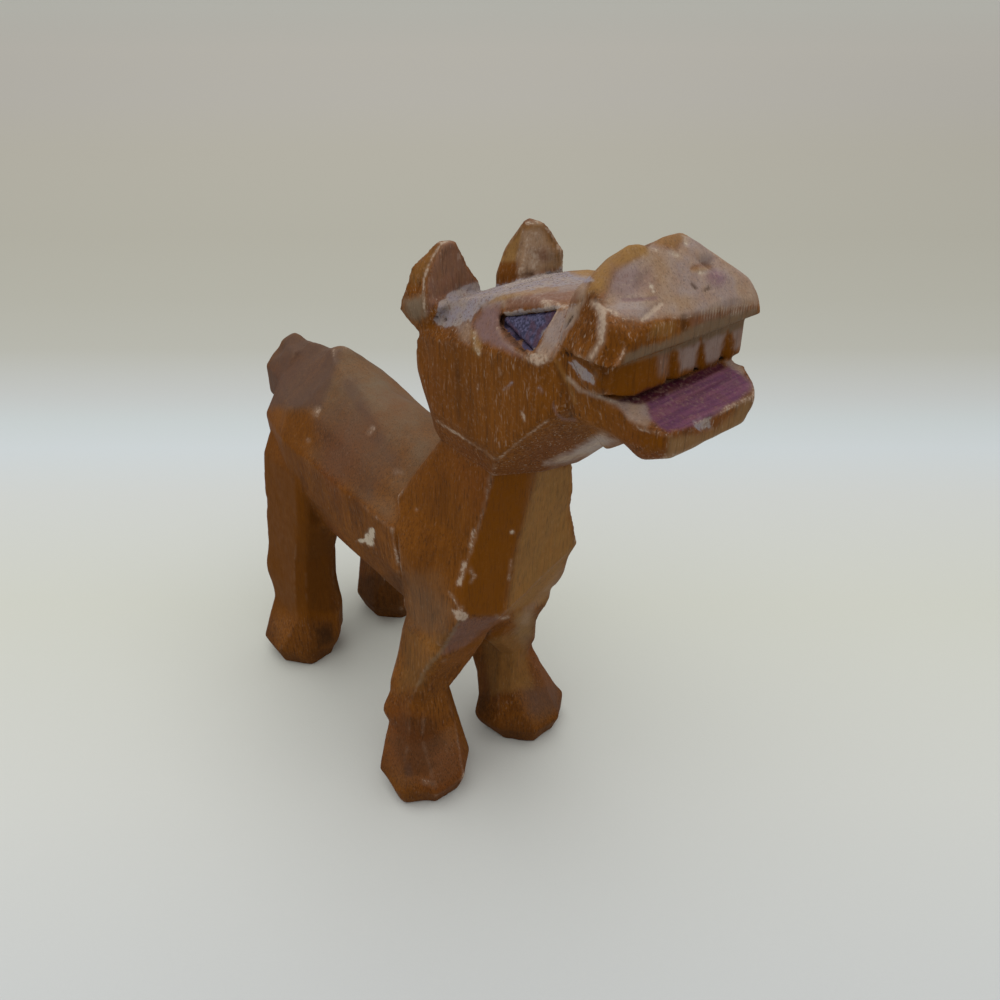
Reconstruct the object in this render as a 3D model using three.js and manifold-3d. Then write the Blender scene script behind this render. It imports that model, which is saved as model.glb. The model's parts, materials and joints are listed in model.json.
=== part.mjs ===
// A small whittled wooden horse that stands with its head raised and its mouth open.
// Millimetres. +X is towards the nose, +Y towards the animal's left, +Z up, the hooves stand on z = 0.
// Each piece is a blank lofted over a few stations and pared with flat knife cuts, so that it has
// the plane facets of the carving. Pieces meet on flat glue lines with round pegs across them.
// Heights on the body are taken from the belly, and those on the head from the top of the neck.
import * as THREE from "three";
import { mergeVertices } from "three/addons/utils/BufferGeometryUtils.js";
import Module from "manifold-3d";

// Glue lines and pegs
const GLUE_LINE = 0.3;
const PEG_SIDES = 12;
const LEG_PEG_DIAMETER = 4.2;
const LEG_PEG_LENGTH = 14;
const NECK_PEG_DIAMETER = 6;
const NECK_PEG_LENGTH = 18;
const TAIL_PEG_DIAMETER = 4;
const TAIL_PEG_LENGTH = 11;
const JAW_PEG_DIAMETER = 2.4;
const JAW_PEG_LENGTH = 9;
const JAW_PEG_SPREAD = 3.8;
const JAW_PEG_HEIGHT = 17.2;
const EAR_PEG_DIAMETER = 2.6;
const EAR_PEG_LENGTH = 4.5;
const EAR_PEG_ROOT = 1;

// Legs, in level stations above the ground. The front seats start at the elbow and leave a gap between
// them, and the hind seats end flush with the rump.
const RUMP_X = -37.8;
const ELBOW_X = 8.2;
const FRONT_LEG_GAP = 0.6;
const BELLY_HEIGHT = 35;
const ARCH_HEIGHT = 27;
const KNEE_HEIGHT = 20.5;
const FETLOCK_HEIGHT = 13;
const HOOF_WIDEST_HEIGHT = 4;
const SOLE_LENGTH = 12.8;
const SOLE_WIDTH = 12.4;
const SOLE_CHAMFER = 3.8;
const HOOF_LENGTH = 15.8;
const HOOF_WIDTH = 15.4;
const HOOF_CHAMFER = 4.8;
const HOOF_SPREAD = 11.3;
const LEG_CHAMFER = 1.7;
const FRONT_HOOF_X = 12.8;
const FRONT_FETLOCK = { x: 10.8, y: 9.8, length: 9.6, width: 10.4 };
const FRONT_KNEE = { x: 10.5, y: 9.9, length: 9.4, width: 8.2 };
const FRONT_ARCH = { x: 11.8, y: 7, length: 10.2, width: 11.2 };
const FRONT_SEAT_LENGTH = 12.4;
const FRONT_SEAT_WIDTH = 11.6;
const FRONT_SEAT = {
  x: ELBOW_X + FRONT_SEAT_LENGTH / 2,
  y: (FRONT_LEG_GAP + FRONT_SEAT_WIDTH) / 2,
  length: FRONT_SEAT_LENGTH,
  width: FRONT_SEAT_WIDTH,
};
const HIND_HOOF_X = -32.2;
const HIND_FETLOCK = { x: -30, y: 10.2, length: 13.2, width: 10.4 };
const HIND_KNEE = { x: -30.8, y: 10.2, length: 13.8, width: 9.6 };
const HIND_ARCH = { x: -30.8, y: 9.6, length: 14, width: 9.2 };
const HIND_SEAT_LENGTH = 16.2;
const HIND_SEAT = { x: RUMP_X + HIND_SEAT_LENGTH / 2, y: 8.6, length: HIND_SEAT_LENGTH, width: 9.8 };

// Barrel of the body, in upright stations from rump to shoulder
const BELLY_FLAT = 8.6;
const BELLY_TURN = 0.7;
const BELLY_TURN_HEIGHT = 9;
const FLANK_HEIGHT = 18;
const BACK_EDGE = 4.2;
const BACK_CROWN = 1.2;
const BACK_TURN = 3.4;
const BACK_TURN_DROP = 6;
const RUMP = { x: RUMP_X, halfWidth: 9.8, top: 29.6 };
const HIP = { x: -27, halfWidth: 12.4, top: 32 };
const GIRTH = { x: -8, halfWidth: 12.2, top: 29.5 };
const SHOULDER = { x: 9, halfWidth: 12, top: 27.6 };

// Facet that slopes from the croup to the hip. It is shallower on the left.
const CROUP = { x: -31, y: 0, z: 31 };
const CROUP_SIDE = { x: -19, y: 6, z: 29.2 };
const HIP_POINT = { x: -33, y: 11.8, z: 20.3 };
const LEFT_CROUP_RAISE = 1.2;

// Haunch above the hind leg
const HAUNCH_HEIGHT = 11;
const HAUNCH = { x: -29.6, y: 7.8, length: 16, width: 9.2 };
const HAUNCH_TOP_HEIGHT = 22;
const HAUNCH_TOP = { x: -31, y: 4.8, length: 10, width: 6 };

// Neck and chest, in level stations. The ridge down the throat and chest stands right of the middle,
// and the left side is the fuller one.
const NECK_HEIGHT = 35.4;
const NECK_TOP = {
  front: 29.4, halfWidth: 7.2, leftHalfWidth: 8, ridge: -1.6, rear: 13.6, rearTurn: 3,
  rearHalfWidth: 6.9,
};
const THROAT_HEIGHT = 23;
const THROAT = {
  front: 27.5, halfWidth: 8.7, leftHalfWidth: 9.4, ridge: -2.5, rear: 3.6, rearTurn: 4.2,
  rearHalfWidth: 10,
};
const LEG_LEDGE = 0.2;
const BREAST_FRONT = ELBOW_X + FRONT_SEAT_LENGTH - LEG_LEDGE;
const BREAST = {
  front: BREAST_FRONT, halfWidth: 10.8, leftHalfWidth: 11.8, ridge: -3.2, rear: 6, rearTurn: 3,
  rearHalfWidth: 11,
};
const RIDGE_PROUD = 1.8;
const NAPE_FLAT = 2.6;
const CHEST_RIDGE = { x: 26, y: -3.7, z: 8.4 };
const CHEST_RIGHT = { x: 24.4, y: -10.7, z: 10.6 };
const CHEST_LEFT = { x: 25.2, y: 12, z: 14 };
const ELBOW = { x: 10.6, y: 12.2, z: 15.2 };
const CHEST_REAR_X = 1;

// Tail stub
const TAIL_LENGTH = 8.8;
const TAIL_TOP = 27.3;
const TAIL_RISE = 1.2;
const TAIL_MIDDLE = 23.2;
const TAIL_BOTTOM = 17.3;
const TAIL_TOP_FLAT = 0.9;
const TAIL_HALF_WIDTH = 4.7;
const TAIL_ROOT_SPREAD = 1.4;

// Back of the skull, with x from the nape
const NAPE_OVERHANG = 0.6;
const HEAD_LENGTH = 31;
const CHEEK_HALF_WIDTH = 9.7;
const OCCIPUT_HALF_WIDTH = 6;
const HEAD_BACK = { x: 0.8, z: 11.6 };
const EAR_SEAT = { x: 1.2, z: 15.6 };
const POLL = { x: 7.3, z: 22.5 };
const CHEEK_TOP_REAR = { x: 4.2, z: 17.1 };
const JAW_BACK = { x: 4.8, y: 9, z: 4.9 };

// Face, with x from the jaw seam at the head's front
const BROW = { x: -13.5, z: 26.3 };
const NOSE_ROOT_HEIGHT = 28.3;
const CHIN_HEIGHT = 10;
const THROAT_BACK = 10;
const CHEEK_TOP_FRONT = { x: -4, z: 21.9 };
const BROW_RIDGE = { x: -9.5, y: 5.7, z: 27.8 };
const JAW_CORNER = { x: -13, y: 9, z: 4.8 };
const CHEEK_FRONT = { x: -3.6, y: 9.3, z: 14.9 };
const MOUTH_CREASE = { x: 0.2, y: 8, z: 16.7 };
const CHIN_EDGE = { x: -2, y: -1.5, z: 11.2 };
const THROAT_EDGE = { x: -10.1, y: -1.5, z: 2.8 };
const THROAT_LEFT_EDGE = { x: -9.3, y: 4, z: 2.5 };

// Muzzle, in upright stations, as half sections from the top edge down to the lip. The right bump of the
// nose is the wider one.
const MUZZLE_ROOT = { x: -2, top: [4.4, 29.8], side: [7.8, 28.2], lip: [9.2, 24.8] };
const NOSE_BACK = { x: -0.6, top: [4, 33.5], side: [8.6, 30.9], lip: [9.8, 25] };
const NOSE_BUMP = { x: 2.4, top: [3.7, 35.4], rightTop: [4.2, 35.7], side: [8.6, 32.2], lip: [10.9, 25.4] };
const NOSE_CORNER = { x: 6.8, top: [6, 31.1], side: [10.5, 30.2], lip: [11.6, 26] };
const LIP_FRONT = { x: 8.4, top: [6, 29.4], side: [8.8, 28.5], lip: [11.2, 26.3] };
const NOSE_VALLEY_Y = -0.9;
const NOSE_VALLEY_WIDTH = 6.4;
const NOSE_VALLEY_DEPTH = 0.75;
const NOSTRIL_SPREAD = 5.4;
const NOSTRIL_LENGTH = 4.8;
const NOSTRIL_WIDTH = 2.4;
const RIGHT_NOSTRIL_DEPTH = 0.35;
const LEFT_NOSTRIL_DEPTH = 1;
const NOSTRIL_FLOOR = 0.2;

// Upper teeth, a band under the lip that reaches further round on the left. Its gaps widen downwards.
const TOOTH_BAND_TOP = 26.8;
const TOOTH_BAND_REAR = { x: -1.2, y: 9.2 };
const TOOTH_BAND_SIDE = { x: 4.6, y: 10 };
const TOOTH_BAND_LEFT_SIDE = { x: 5.4, y: 10.8 };
const TOOTH_BAND_FRONT = { x: 7.3, y: 6.6 };
const TOOTH_BAND_LEFT_FRONT = { x: 7.3, y: 10.3 };
const TOOTH_EDGE_HEIGHT = 21.4;
const TOOTH_REAR_HEIGHT = 21.9;
const MOUTH_GAP = 0.6;
const TOOTH_GAPS = 3;
const TOOTH_PITCH = 4.4;
const FIRST_TOOTH_GAP_Y = -1.2;
const TOOTH_GAP_WIDTH = 1.9;
const TOOTH_GAP_DEPTH = 0.7;
const TOOTH_GAP_START = 0.1;

// Lower jaw, in upright stations from the seam. It rises to the tooth band at the corners of the mouth,
// and its left rim is the wider one.
const JAW_ROOT = { top: [8.9, 23.3], side: [8.3, 16.8], keel: [2.6, CHIN_HEIGHT] };
const JAW_CORNER_STATION = { x: 3.2, top: [8.9, 20.5], side: [8.1, 16.9], keel: [4, 12.4] };
const JAW_MIDDLE = { x: 8.8, top: [8.4, 19.8], side: [7.8, 16.8], keel: [6, 14.2] };
const JAW_TIP = { x: 12.4, top: [6.8, 19.2], side: [7, 17.8], keel: [6, 16.2] };
const JAW_LEFT_RIM = [9.5, 20.6];

// Ears, with x from the nape, as corners inner front, inner back, outer back and outer front
const EAR_BASE = { innerY: 3.4, outerY: 9.1, front: 6.6, rear: 1.6 };
const EAR_BULGE = { inner: [7.4, 3.5, 23.6], innerBack: [1.8, 3.7, 21.8], outerBack: [-0.2, 10.2, 19.6] };
const EAR_UPPER = { inner: [7, 4.7, 26.2], innerBack: [2.3, 4.8, 25], outerBack: [1, 9.3, 25.4] };
const EAR_TIP = { inner: [6.3, 5.9, 29.3], innerBack: [5.2, 5.8, 29.3], outerBack: [4.5, 7.4, 29.3] };
const RIGHT_EAR_EDGE_X = 5.2;
const LEFT_EAR_EDGE_X = 8.8;
const RIGHT_EAR_TIP_X = 6.2;
const LEFT_EAR_TIP_X = 7.2;
const EAR_BULGE_EDGE = { y: 10, z: 22.4 };
const EAR_UPPER_EDGE = { y: 9, z: 25.6 };
const EAR_TIP_EDGE = { y: 7.3, z: 29.3 };

// Eyes: three-cornered inlays in pockets on the temples
const EYE_REAR = { x: -14.1, z: 23.5 };
const EYE_FRONT = { x: -5.5, z: 26.9 };
const EYE_BOTTOM = { x: -6.6, z: 22.5 };
const EYE_SUNK = 0.7;
const EYE_THICKNESS = 1.6;

const wasm = await Module();
wasm.setup();

// A closed geometry as a solid for cutting and joining.
function solidOf(geometry) {
  const bare = geometry.clone();
  bare.deleteAttribute("normal");
  bare.deleteAttribute("uv");
  const merged = mergeVertices(bare, 1e-4);
  return new wasm.Manifold(new wasm.Mesh({
    numProp: 3,
    vertProperties: new Float32Array(merged.getAttribute("position").array),
    triVerts: new Uint32Array(merged.getIndex().array),
  }));
}

// A finished solid as a geometry with flat facets.
function geometryOf(solid) {
  const mesh = solid.getMesh();
  const corners = new THREE.BufferGeometry();
  corners.setAttribute("position", new THREE.BufferAttribute(new Float32Array(mesh.vertProperties), 3));
  corners.setIndex(new THREE.BufferAttribute(new Uint32Array(mesh.triVerts), 1));
  const facets = corners.toNonIndexed();
  facets.computeVertexNormals();
  return facets;
}

const vector = (point) => new THREE.Vector3(...point);
const flip = ([x, y, z]) => [x, -y, z];

// A solid skinned over convex rings that all have the same number of points.
function loft(rings) {
  const count = rings[0].length;
  const points = rings.flat();
  const faces = [];
  for (let r = 0; r + 1 < rings.length; r += 1) {
    for (let i = 0; i < count; i += 1) {
      const a = r * count + i;
      const b = r * count + (i + 1) % count;
      faces.push([a, b, b + count], [a, b + count, a + count]);
    }
  }
  const last = (rings.length - 1) * count;
  for (let i = 1; i + 1 < count; i += 1) {
    faces.push([0, i + 1, i], [last, last + i, last + i + 1]);
  }
  const volume = faces.reduce((sum, [a, b, c]) =>
    sum + vector(points[a]).dot(vector(points[b]).cross(vector(points[c]))), 0);
  const outward = volume < 0 ? faces.map(([a, b, c]) => [a, c, b]) : faces;
  const geometry = new THREE.BufferGeometry();
  geometry.setAttribute("position", new THREE.Float32BufferAttribute(points.flat(), 3));
  geometry.setIndex(outward.flat());
  return solidOf(geometry);
}

// The plane through three points, facing away from the wood that is kept.
function flatThrough(a, b, c, keep) {
  const flat = new THREE.Plane().setFromCoplanarPoints(vector(a), vector(b), vector(c));
  return flat.distanceToPoint(vector(keep)) > 0 ? flat.negate() : flat;
}

// Cuts away all that lies beyond a flat.
const WASTE = 400;
function pare(solid, a, b, c, keep) {
  const flat = flatThrough(a, b, c, keep);
  const waste = new THREE.BoxGeometry(WASTE, WASTE, WASTE);
  waste.translate(0, 0, WASTE / 2);
  waste.applyQuaternion(new THREE.Quaternion().setFromUnitVectors(new THREE.Vector3(0, 0, 1), flat.normal));
  waste.translate(...a);
  return solid.subtract(solidOf(waste));
}

function pareBoth(solid, a, b, c, keep) {
  return pare(pare(solid, a, b, c, keep), flip(a), flip(b), flip(c), flip(keep));
}

// A round peg with its middle at a point, lying along a direction.
function peg(diameter, length, middle, along) {
  const rod = new THREE.CylinderGeometry(diameter / 2, diameter / 2, length, PEG_SIDES);
  rod.applyQuaternion(new THREE.Quaternion().setFromUnitVectors(
    new THREE.Vector3(0, 1, 0), vector(along).normalize()));
  rod.translate(...middle);
  return solidOf(rod);
}

const pegHole = (diameter, length, middle, along) =>
  peg(diameter + 2 * GLUE_LINE, length + 2 * GLUE_LINE, middle, along);

// An upright ring across the figure from its halves, listed from the top down.
const acrossRing = (x, half, leftHalf = half) => [
  ...leftHalf.map(([y, z]) => [x, y, z]),
  ...half.toReversed().map(([y, z]) => [x, -y, z]),
];

// A level ring round a leg: an oblong with its corners pared.
function legRing(z, side, { x, y, length, width }, chamfer) {
  const a = length / 2;
  const b = width / 2;
  const corner = [
    [a, chamfer - b], [a, b - chamfer], [a - chamfer, b], [chamfer - a, b],
    [-a, b - chamfer], [-a, chamfer - b], [chamfer - a, -b], [a - chamfer, -b],
  ];
  return corner.map(([dx, dy]) => [x + dx, side * (y + dy), z]);
}

const SIDES = [["right", -1], ["left", 1]];
const UP = [0, 0, 1];
const FORWARD = [1, 0, 0];
const place = ({ x, y, z }) => [x, y, z];
const mean = (a, b) => (a + b) / 2;

// Pegs that cross the glue lines. One across the belly or the neck is placed from the belly's height
// or from the neck's top, as asked.
function legPeg(seat, arch, side, belly) {
  const middle = [mean(seat.x, arch.x), side * mean(seat.y, arch.y), belly - GLUE_LINE / 2];
  return [LEG_PEG_DIAMETER, LEG_PEG_LENGTH, middle, UP];
}
const frontPeg = (side, belly) => legPeg(FRONT_SEAT, FRONT_ARCH, side, belly);
const hindPeg = (side, belly) => legPeg(HIND_SEAT, HIND_ARCH, side, belly);

const neckX = mean(NECK_TOP.front, NECK_TOP.rear);
const napeX = NECK_TOP.rear - NAPE_OVERHANG;
const neckPeg = (x, top) => [NECK_PEG_DIAMETER, NECK_PEG_LENGTH, [x, 0, top + GLUE_LINE / 2], UP];
const headPeg = neckPeg(neckX - napeX, 0);

const tailHeight = mean(TAIL_TOP, TAIL_BOTTOM);
const tailPeg = [TAIL_PEG_DIAMETER, TAIL_PEG_LENGTH, [RUMP.x - GLUE_LINE / 2, 0, tailHeight], FORWARD];
const jawPeg = (side) => [JAW_PEG_DIAMETER, JAW_PEG_LENGTH,
  [HEAD_LENGTH + GLUE_LINE / 2, side * JAW_PEG_SPREAD, JAW_PEG_HEIGHT], FORWARD];

// Body with the neck
function barrelRing({ x, halfWidth, top }) {
  return acrossRing(x, [
    [BACK_EDGE, top - BACK_CROWN],
    [halfWidth - BACK_TURN, top - BACK_TURN_DROP],
    [halfWidth, FLANK_HEIGHT],
    [halfWidth - BELLY_TURN, BELLY_TURN_HEIGHT],
    [BELLY_FLAT, 0],
  ]).concat([[x, -BACK_EDGE / 2, top], [x, BACK_EDGE / 2, top]]);
}

function collarRing(z, { front, halfWidth, leftHalfWidth, ridge, rear, rearTurn, rearHalfWidth }) {
  return [
    [front, ridge, z],
    [front - RIDGE_PROUD, leftHalfWidth, z],
    [rear + rearTurn, rearHalfWidth, z],
    [rear, NAPE_FLAT, z],
    [rear, -NAPE_FLAT, z],
    [rear + rearTurn, -rearHalfWidth, z],
    [front - RIDGE_PROUD, -halfWidth, z],
  ];
}

function chestRing() {
  return [
    place(CHEST_RIDGE),
    place(CHEST_LEFT),
    place(ELBOW),
    [CHEST_REAR_X, NAPE_FLAT, ELBOW.z],
    [CHEST_REAR_X, -NAPE_FLAT, ELBOW.z],
    flip(place(ELBOW)),
    place(CHEST_RIGHT),
  ];
}

function torso() {
  let body = loft([RUMP, HIP, GIRTH, SHOULDER].map(barrelRing));
  body = body.add(loft([
    collarRing(0, BREAST),
    chestRing(),
    collarRing(THROAT_HEIGHT, THROAT),
    collarRing(NECK_HEIGHT, NECK_TOP),
  ]));
  const heart = [GIRTH.x, 0, GIRTH.top / 2];
  for (const [, side] of SIDES) {
    const haunch = loft([
      legRing(0, side, HIND_SEAT, LEG_CHAMFER),
      legRing(HAUNCH_HEIGHT, side, HAUNCH, LEG_CHAMFER),
      legRing(HAUNCH_TOP_HEIGHT, side, HAUNCH_TOP, LEG_CHAMFER),
    ]);
    const raise = side > 0 ? LEFT_CROUP_RAISE : 0;
    const slope = [CROUP, CROUP_SIDE, HIP_POINT].map(({ x, y, z }) => [x, side * y, z + raise]);
    body = pare(body.add(haunch), ...slope, heart);
    body = body.subtract(pegHole(...frontPeg(side, 0))).subtract(pegHole(...hindPeg(side, 0)));
  }
  return body.subtract(pegHole(...neckPeg(neckX, NECK_HEIGHT))).subtract(pegHole(...tailPeg));
}

function leg(side, hoofX, shank, seat, seatPeg) {
  const sole = { x: hoofX, y: HOOF_SPREAD, length: SOLE_LENGTH, width: SOLE_WIDTH };
  const hoof = { x: hoofX, y: HOOF_SPREAD, length: HOOF_LENGTH, width: HOOF_WIDTH };
  const wood = loft([
    legRing(0, side, sole, SOLE_CHAMFER),
    legRing(HOOF_WIDEST_HEIGHT, side, hoof, HOOF_CHAMFER),
    ...shank.map(([z, station]) => legRing(z, side, station, LEG_CHAMFER)),
    legRing(BELLY_HEIGHT - GLUE_LINE, side, seat, LEG_CHAMFER),
  ]);
  return wood.subtract(pegHole(...seatPeg));
}

const frontShank = [
  [FETLOCK_HEIGHT, FRONT_FETLOCK], [KNEE_HEIGHT, FRONT_KNEE], [ARCH_HEIGHT, FRONT_ARCH]];
const hindShank = [
  [FETLOCK_HEIGHT, HIND_FETLOCK], [KNEE_HEIGHT, HIND_KNEE], [ARCH_HEIGHT, HIND_ARCH]];

function tail() {
  const tailRing = (x, spread, top) => acrossRing(x, [
    [TAIL_TOP_FLAT + spread, top],
    [TAIL_HALF_WIDTH + spread, TAIL_MIDDLE],
    [TAIL_HALF_WIDTH + spread, TAIL_BOTTOM],
  ]);
  const wood = loft([
    tailRing(RUMP.x - TAIL_LENGTH, 0, TAIL_TOP),
    tailRing(RUMP.x - GLUE_LINE, TAIL_ROOT_SPREAD, TAIL_TOP + TAIL_RISE),
  ]);
  return wood.subtract(pegHole(...tailPeg));
}

// Head with the upper muzzle and teeth
const faceX = (x) => HEAD_LENGTH + x;
const facePlace = ({ x, y, z }) => [faceX(x), y, z];
const headHeart = [HEAD_LENGTH / 2, 0, mean(CHIN_HEIGHT, POLL.z)];
const templeRear = [CHEEK_TOP_REAR.x, CHEEK_HALF_WIDTH, CHEEK_TOP_REAR.z];
const templeFront = [faceX(CHEEK_TOP_FRONT.x), CHEEK_HALF_WIDTH, CHEEK_TOP_FRONT.z];
const temple = flatThrough(templeRear, templeFront, facePlace(BROW_RIDGE), headHeart);

function skull() {
  const outline = [
    [0, GLUE_LINE], [HEAD_BACK.x, HEAD_BACK.z], [EAR_SEAT.x, EAR_SEAT.z], [POLL.x, POLL.z],
    [faceX(BROW.x), BROW.z], [HEAD_LENGTH, NOSE_ROOT_HEIGHT], [HEAD_LENGTH, CHIN_HEIGHT],
    [HEAD_LENGTH - THROAT_BACK, GLUE_LINE],
  ];
  const sawn = [-CHEEK_HALF_WIDTH, CHEEK_HALF_WIDTH].map((y) => outline.map(([x, z]) => [x, y, z]));
  const neckSide = [neckX - napeX, NECK_TOP.halfWidth, GLUE_LINE];
  const nape = [0, OCCIPUT_HALF_WIDTH, GLUE_LINE];
  const jawBack = place(JAW_BACK);
  const jawCorner = facePlace(JAW_CORNER);
  const cheekFront = facePlace(CHEEK_FRONT);
  const throat = facePlace(THROAT_EDGE);
  const throatLeft = facePlace(THROAT_LEFT_EDGE);
  let wood = pareBoth(loft(sawn), templeRear, templeFront, facePlace(BROW_RIDGE), headHeart);
  wood = pare(wood, facePlace(CHIN_EDGE), throat, throatLeft, headHeart);
  wood = pare(wood, flip(jawCorner), flip(cheekFront), throat, headHeart);
  wood = pare(wood, jawCorner, cheekFront, throatLeft, headHeart);
  wood = pareBoth(wood, jawBack, jawCorner, neckSide, headHeart);
  wood = pareBoth(wood, [HEAD_BACK.x, JAW_BACK.y, HEAD_BACK.z], jawBack, nape, headHeart);
  return pareBoth(wood, cheekFront, templeFront, facePlace(MOUTH_CREASE), headHeart);
}

function muzzle() {
  const stations = [MUZZLE_ROOT, NOSE_BACK, NOSE_BUMP, NOSE_CORNER, LIP_FRONT];
  const wood = loft(stations.map(({ x, top, rightTop = top, side, lip }) =>
    acrossRing(faceX(x), [rightTop, side, lip], [top, side, lip])));
  const valley = (x, z) => [
    [faceX(x), NOSE_VALLEY_Y + NOSE_VALLEY_WIDTH / 2, z + NOSE_VALLEY_DEPTH],
    [faceX(x), NOSE_VALLEY_Y - NOSE_VALLEY_WIDTH / 2, z + NOSE_VALLEY_DEPTH],
    [faceX(x), NOSE_VALLEY_Y, z - NOSE_VALLEY_DEPTH],
  ];
  const course = [MUZZLE_ROOT, NOSE_BACK, NOSE_BUMP].map(({ x, top }) => valley(x, top[1]));
  return wood.subtract(loft([...course, valley(NOSE_CORNER.x, NOSE_BUMP.top[1])]));
}

function toothBand() {
  const left = [TOOTH_BAND_REAR, TOOTH_BAND_LEFT_SIDE, TOOTH_BAND_LEFT_FRONT];
  const right = [TOOTH_BAND_FRONT, TOOTH_BAND_SIDE, TOOTH_BAND_REAR];
  const outline = [
    ...left.map(({ x, y }) => [faceX(x), y]),
    ...right.map(({ x, y }) => [faceX(x), -y]),
  ];
  const front = faceX(TOOTH_BAND_FRONT.x);
  const depth = TOOTH_BAND_TOP - TOOTH_EDGE_HEIGHT;
  const heights = [TOOTH_BAND_TOP, TOOTH_EDGE_HEIGHT - depth];
  const biting = [-1, 1].map((side) => [front, side * TOOTH_BAND_FRONT.y, TOOTH_EDGE_HEIGHT]);
  let wood = loft(heights.map((z) => outline.map(([x, y]) => [x, y, z])));
  const inside = [HEAD_LENGTH, 0, TOOTH_BAND_TOP];
  const overJaw = (x, y, z) => [faceX(x), y, z + MOUTH_GAP];
  wood = pare(wood, ...biting, [faceX(TOOTH_BAND_REAR.x), 0, TOOTH_REAR_HEIGHT], inside);
  const rearGap = [-1, 1].map((side) => overJaw(GLUE_LINE, side * JAW_ROOT.top[0], JAW_ROOT.top[1]));
  wood = pare(wood, ...rearGap, overJaw(JAW_CORNER_STATION.x, 0, JAW_CORNER_STATION.top[1]), inside);
  for (let gap = 0; gap < TOOTH_GAPS; gap += 1) {
    const y = FIRST_TOOTH_GAP_Y + gap * TOOTH_PITCH;
    wood = wood.subtract(loft(heights.map((z) => {
      const share = Math.max(TOOTH_GAP_START, (TOOTH_BAND_TOP - z) / depth);
      return [
        [front + TOOTH_GAP_DEPTH * share, y - TOOTH_GAP_WIDTH * share, z],
        [front + TOOTH_GAP_DEPTH * share, y + TOOTH_GAP_WIDTH * share, z],
        [front - TOOTH_GAP_DEPTH * share, y, z],
      ];
    })));
  }
  return wood;
}

// The flat of the temple gives a point's distance from the middle of the head.
function onTemple(x, z) {
  const { normal, constant } = temple;
  return [x, -(normal.x * x + normal.z * z + constant) / normal.y, z];
}

// A three-cornered prism under the temple, widened all round, between two depths.
function eyeBlock(side, widen, shallow, deep) {
  const corners = [EYE_REAR, EYE_FRONT, EYE_BOTTOM].map(({ x, z }) => vector(onTemple(faceX(x), z)));
  const edges = corners.map((corner, i) => corners[(i + 1) % 3].distanceTo(corners[(i + 2) % 3]));
  const girth = edges[0] + edges[1] + edges[2];
  const middle = new THREE.Vector3();
  corners.forEach((corner, i) => middle.addScaledVector(corner, edges[i] / girth));
  const area = new THREE.Triangle(...corners).getArea();
  const scale = 1 + widen / (2 * area / girth);
  const ring = (depth) => corners.map((corner) => {
    const point = corner.clone().sub(middle).multiplyScalar(scale).add(middle);
    point.addScaledVector(temple.normal, -depth);
    return [point.x, side * point.y, point.z];
  });
  return loft([ring(shallow), ring(deep)]);
}

const eyePocket = (side) => eyeBlock(side, GLUE_LINE, -EYE_THICKNESS, EYE_SUNK + EYE_THICKNESS + GLUE_LINE);
const eye = (side) => eyeBlock(side, 0, EYE_SUNK, EYE_SUNK + EYE_THICKNESS);

// A shallow chip cut in the sloping front of the nose, small at its floor and open above the wood.
function nostril(side) {
  const depth = side < 0 ? RIGHT_NOSTRIL_DEPTH : LEFT_NOSTRIL_DEPTH;
  const crest = vector([faceX(NOSE_BUMP.x), NOSTRIL_SPREAD, NOSE_BUMP.top[1]]);
  const brim = vector([faceX(LIP_FRONT.x), NOSTRIL_SPREAD, LIP_FRONT.top[1]]);
  const slope = brim.clone().sub(crest).normalize();
  const outward = new THREE.Vector3(-slope.z, 0, slope.x);
  const middle = crest.lerp(brim, 1 / 2);
  const ring = (size, up) => [[-1, -1], [-1, 1], [1, 0]].map(([along, across]) => {
    const point = middle.clone().addScaledVector(outward, up);
    point.addScaledVector(slope, along * size * NOSTRIL_WIDTH / 2);
    return [point.x, side * (point.y + across * size * NOSTRIL_LENGTH / 2), point.z];
  });
  return loft([ring(NOSTRIL_FLOOR, -depth), ring(2 - NOSTRIL_FLOOR, depth)]);
}

// Ears
const seatRise = (POLL.z - EAR_SEAT.z) / (POLL.x - EAR_SEAT.x);
const seatHeight = (x) => EAR_SEAT.z + seatRise * (x - EAR_SEAT.x);
const seatNormal = vector([-seatRise, 0, 1]).normalize();

// The ear's own tenon, which stands in the head and is rooted a little way up in the ear.
function earPeg(side) {
  const x = mean(EAR_BASE.front, EAR_BASE.rear);
  const middle = vector([x, side * mean(EAR_BASE.innerY, EAR_BASE.outerY), seatHeight(x)]);
  middle.addScaledVector(seatNormal, (EAR_PEG_ROOT - EAR_PEG_LENGTH) / 2);
  return [EAR_PEG_DIAMETER, EAR_PEG_LENGTH + EAR_PEG_ROOT, middle.toArray(), seatNormal.toArray()];
}

function ear(side) {
  const { innerY, outerY, front, rear } = EAR_BASE;
  const [edgeX, tipX] = side < 0 ? [RIGHT_EAR_EDGE_X, RIGHT_EAR_TIP_X] : [LEFT_EAR_EDGE_X, LEFT_EAR_TIP_X];
  const lift = GLUE_LINE / seatNormal.z;
  const base = [[front, innerY], [rear, innerY], [rear, outerY], [front, outerY]].map(([x, y]) =>
    [x, y, seatHeight(x) + lift]);
  const bulge = [EAR_BULGE.inner, EAR_BULGE.innerBack, EAR_BULGE.outerBack,
    [edgeX, EAR_BULGE_EDGE.y, EAR_BULGE_EDGE.z]];
  const upper = [EAR_UPPER.inner, EAR_UPPER.innerBack, EAR_UPPER.outerBack,
    [edgeX, EAR_UPPER_EDGE.y, EAR_UPPER_EDGE.z]];
  const tip = [EAR_TIP.inner, EAR_TIP.innerBack, EAR_TIP.outerBack,
    [tipX, EAR_TIP_EDGE.y, EAR_TIP_EDGE.z]];
  const leaf = loft([base, bulge, upper, tip].map((ring) => ring.map(([x, y, z]) => [x, side * y, z])));
  return leaf.add(peg(...earPeg(side)));
}

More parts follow.
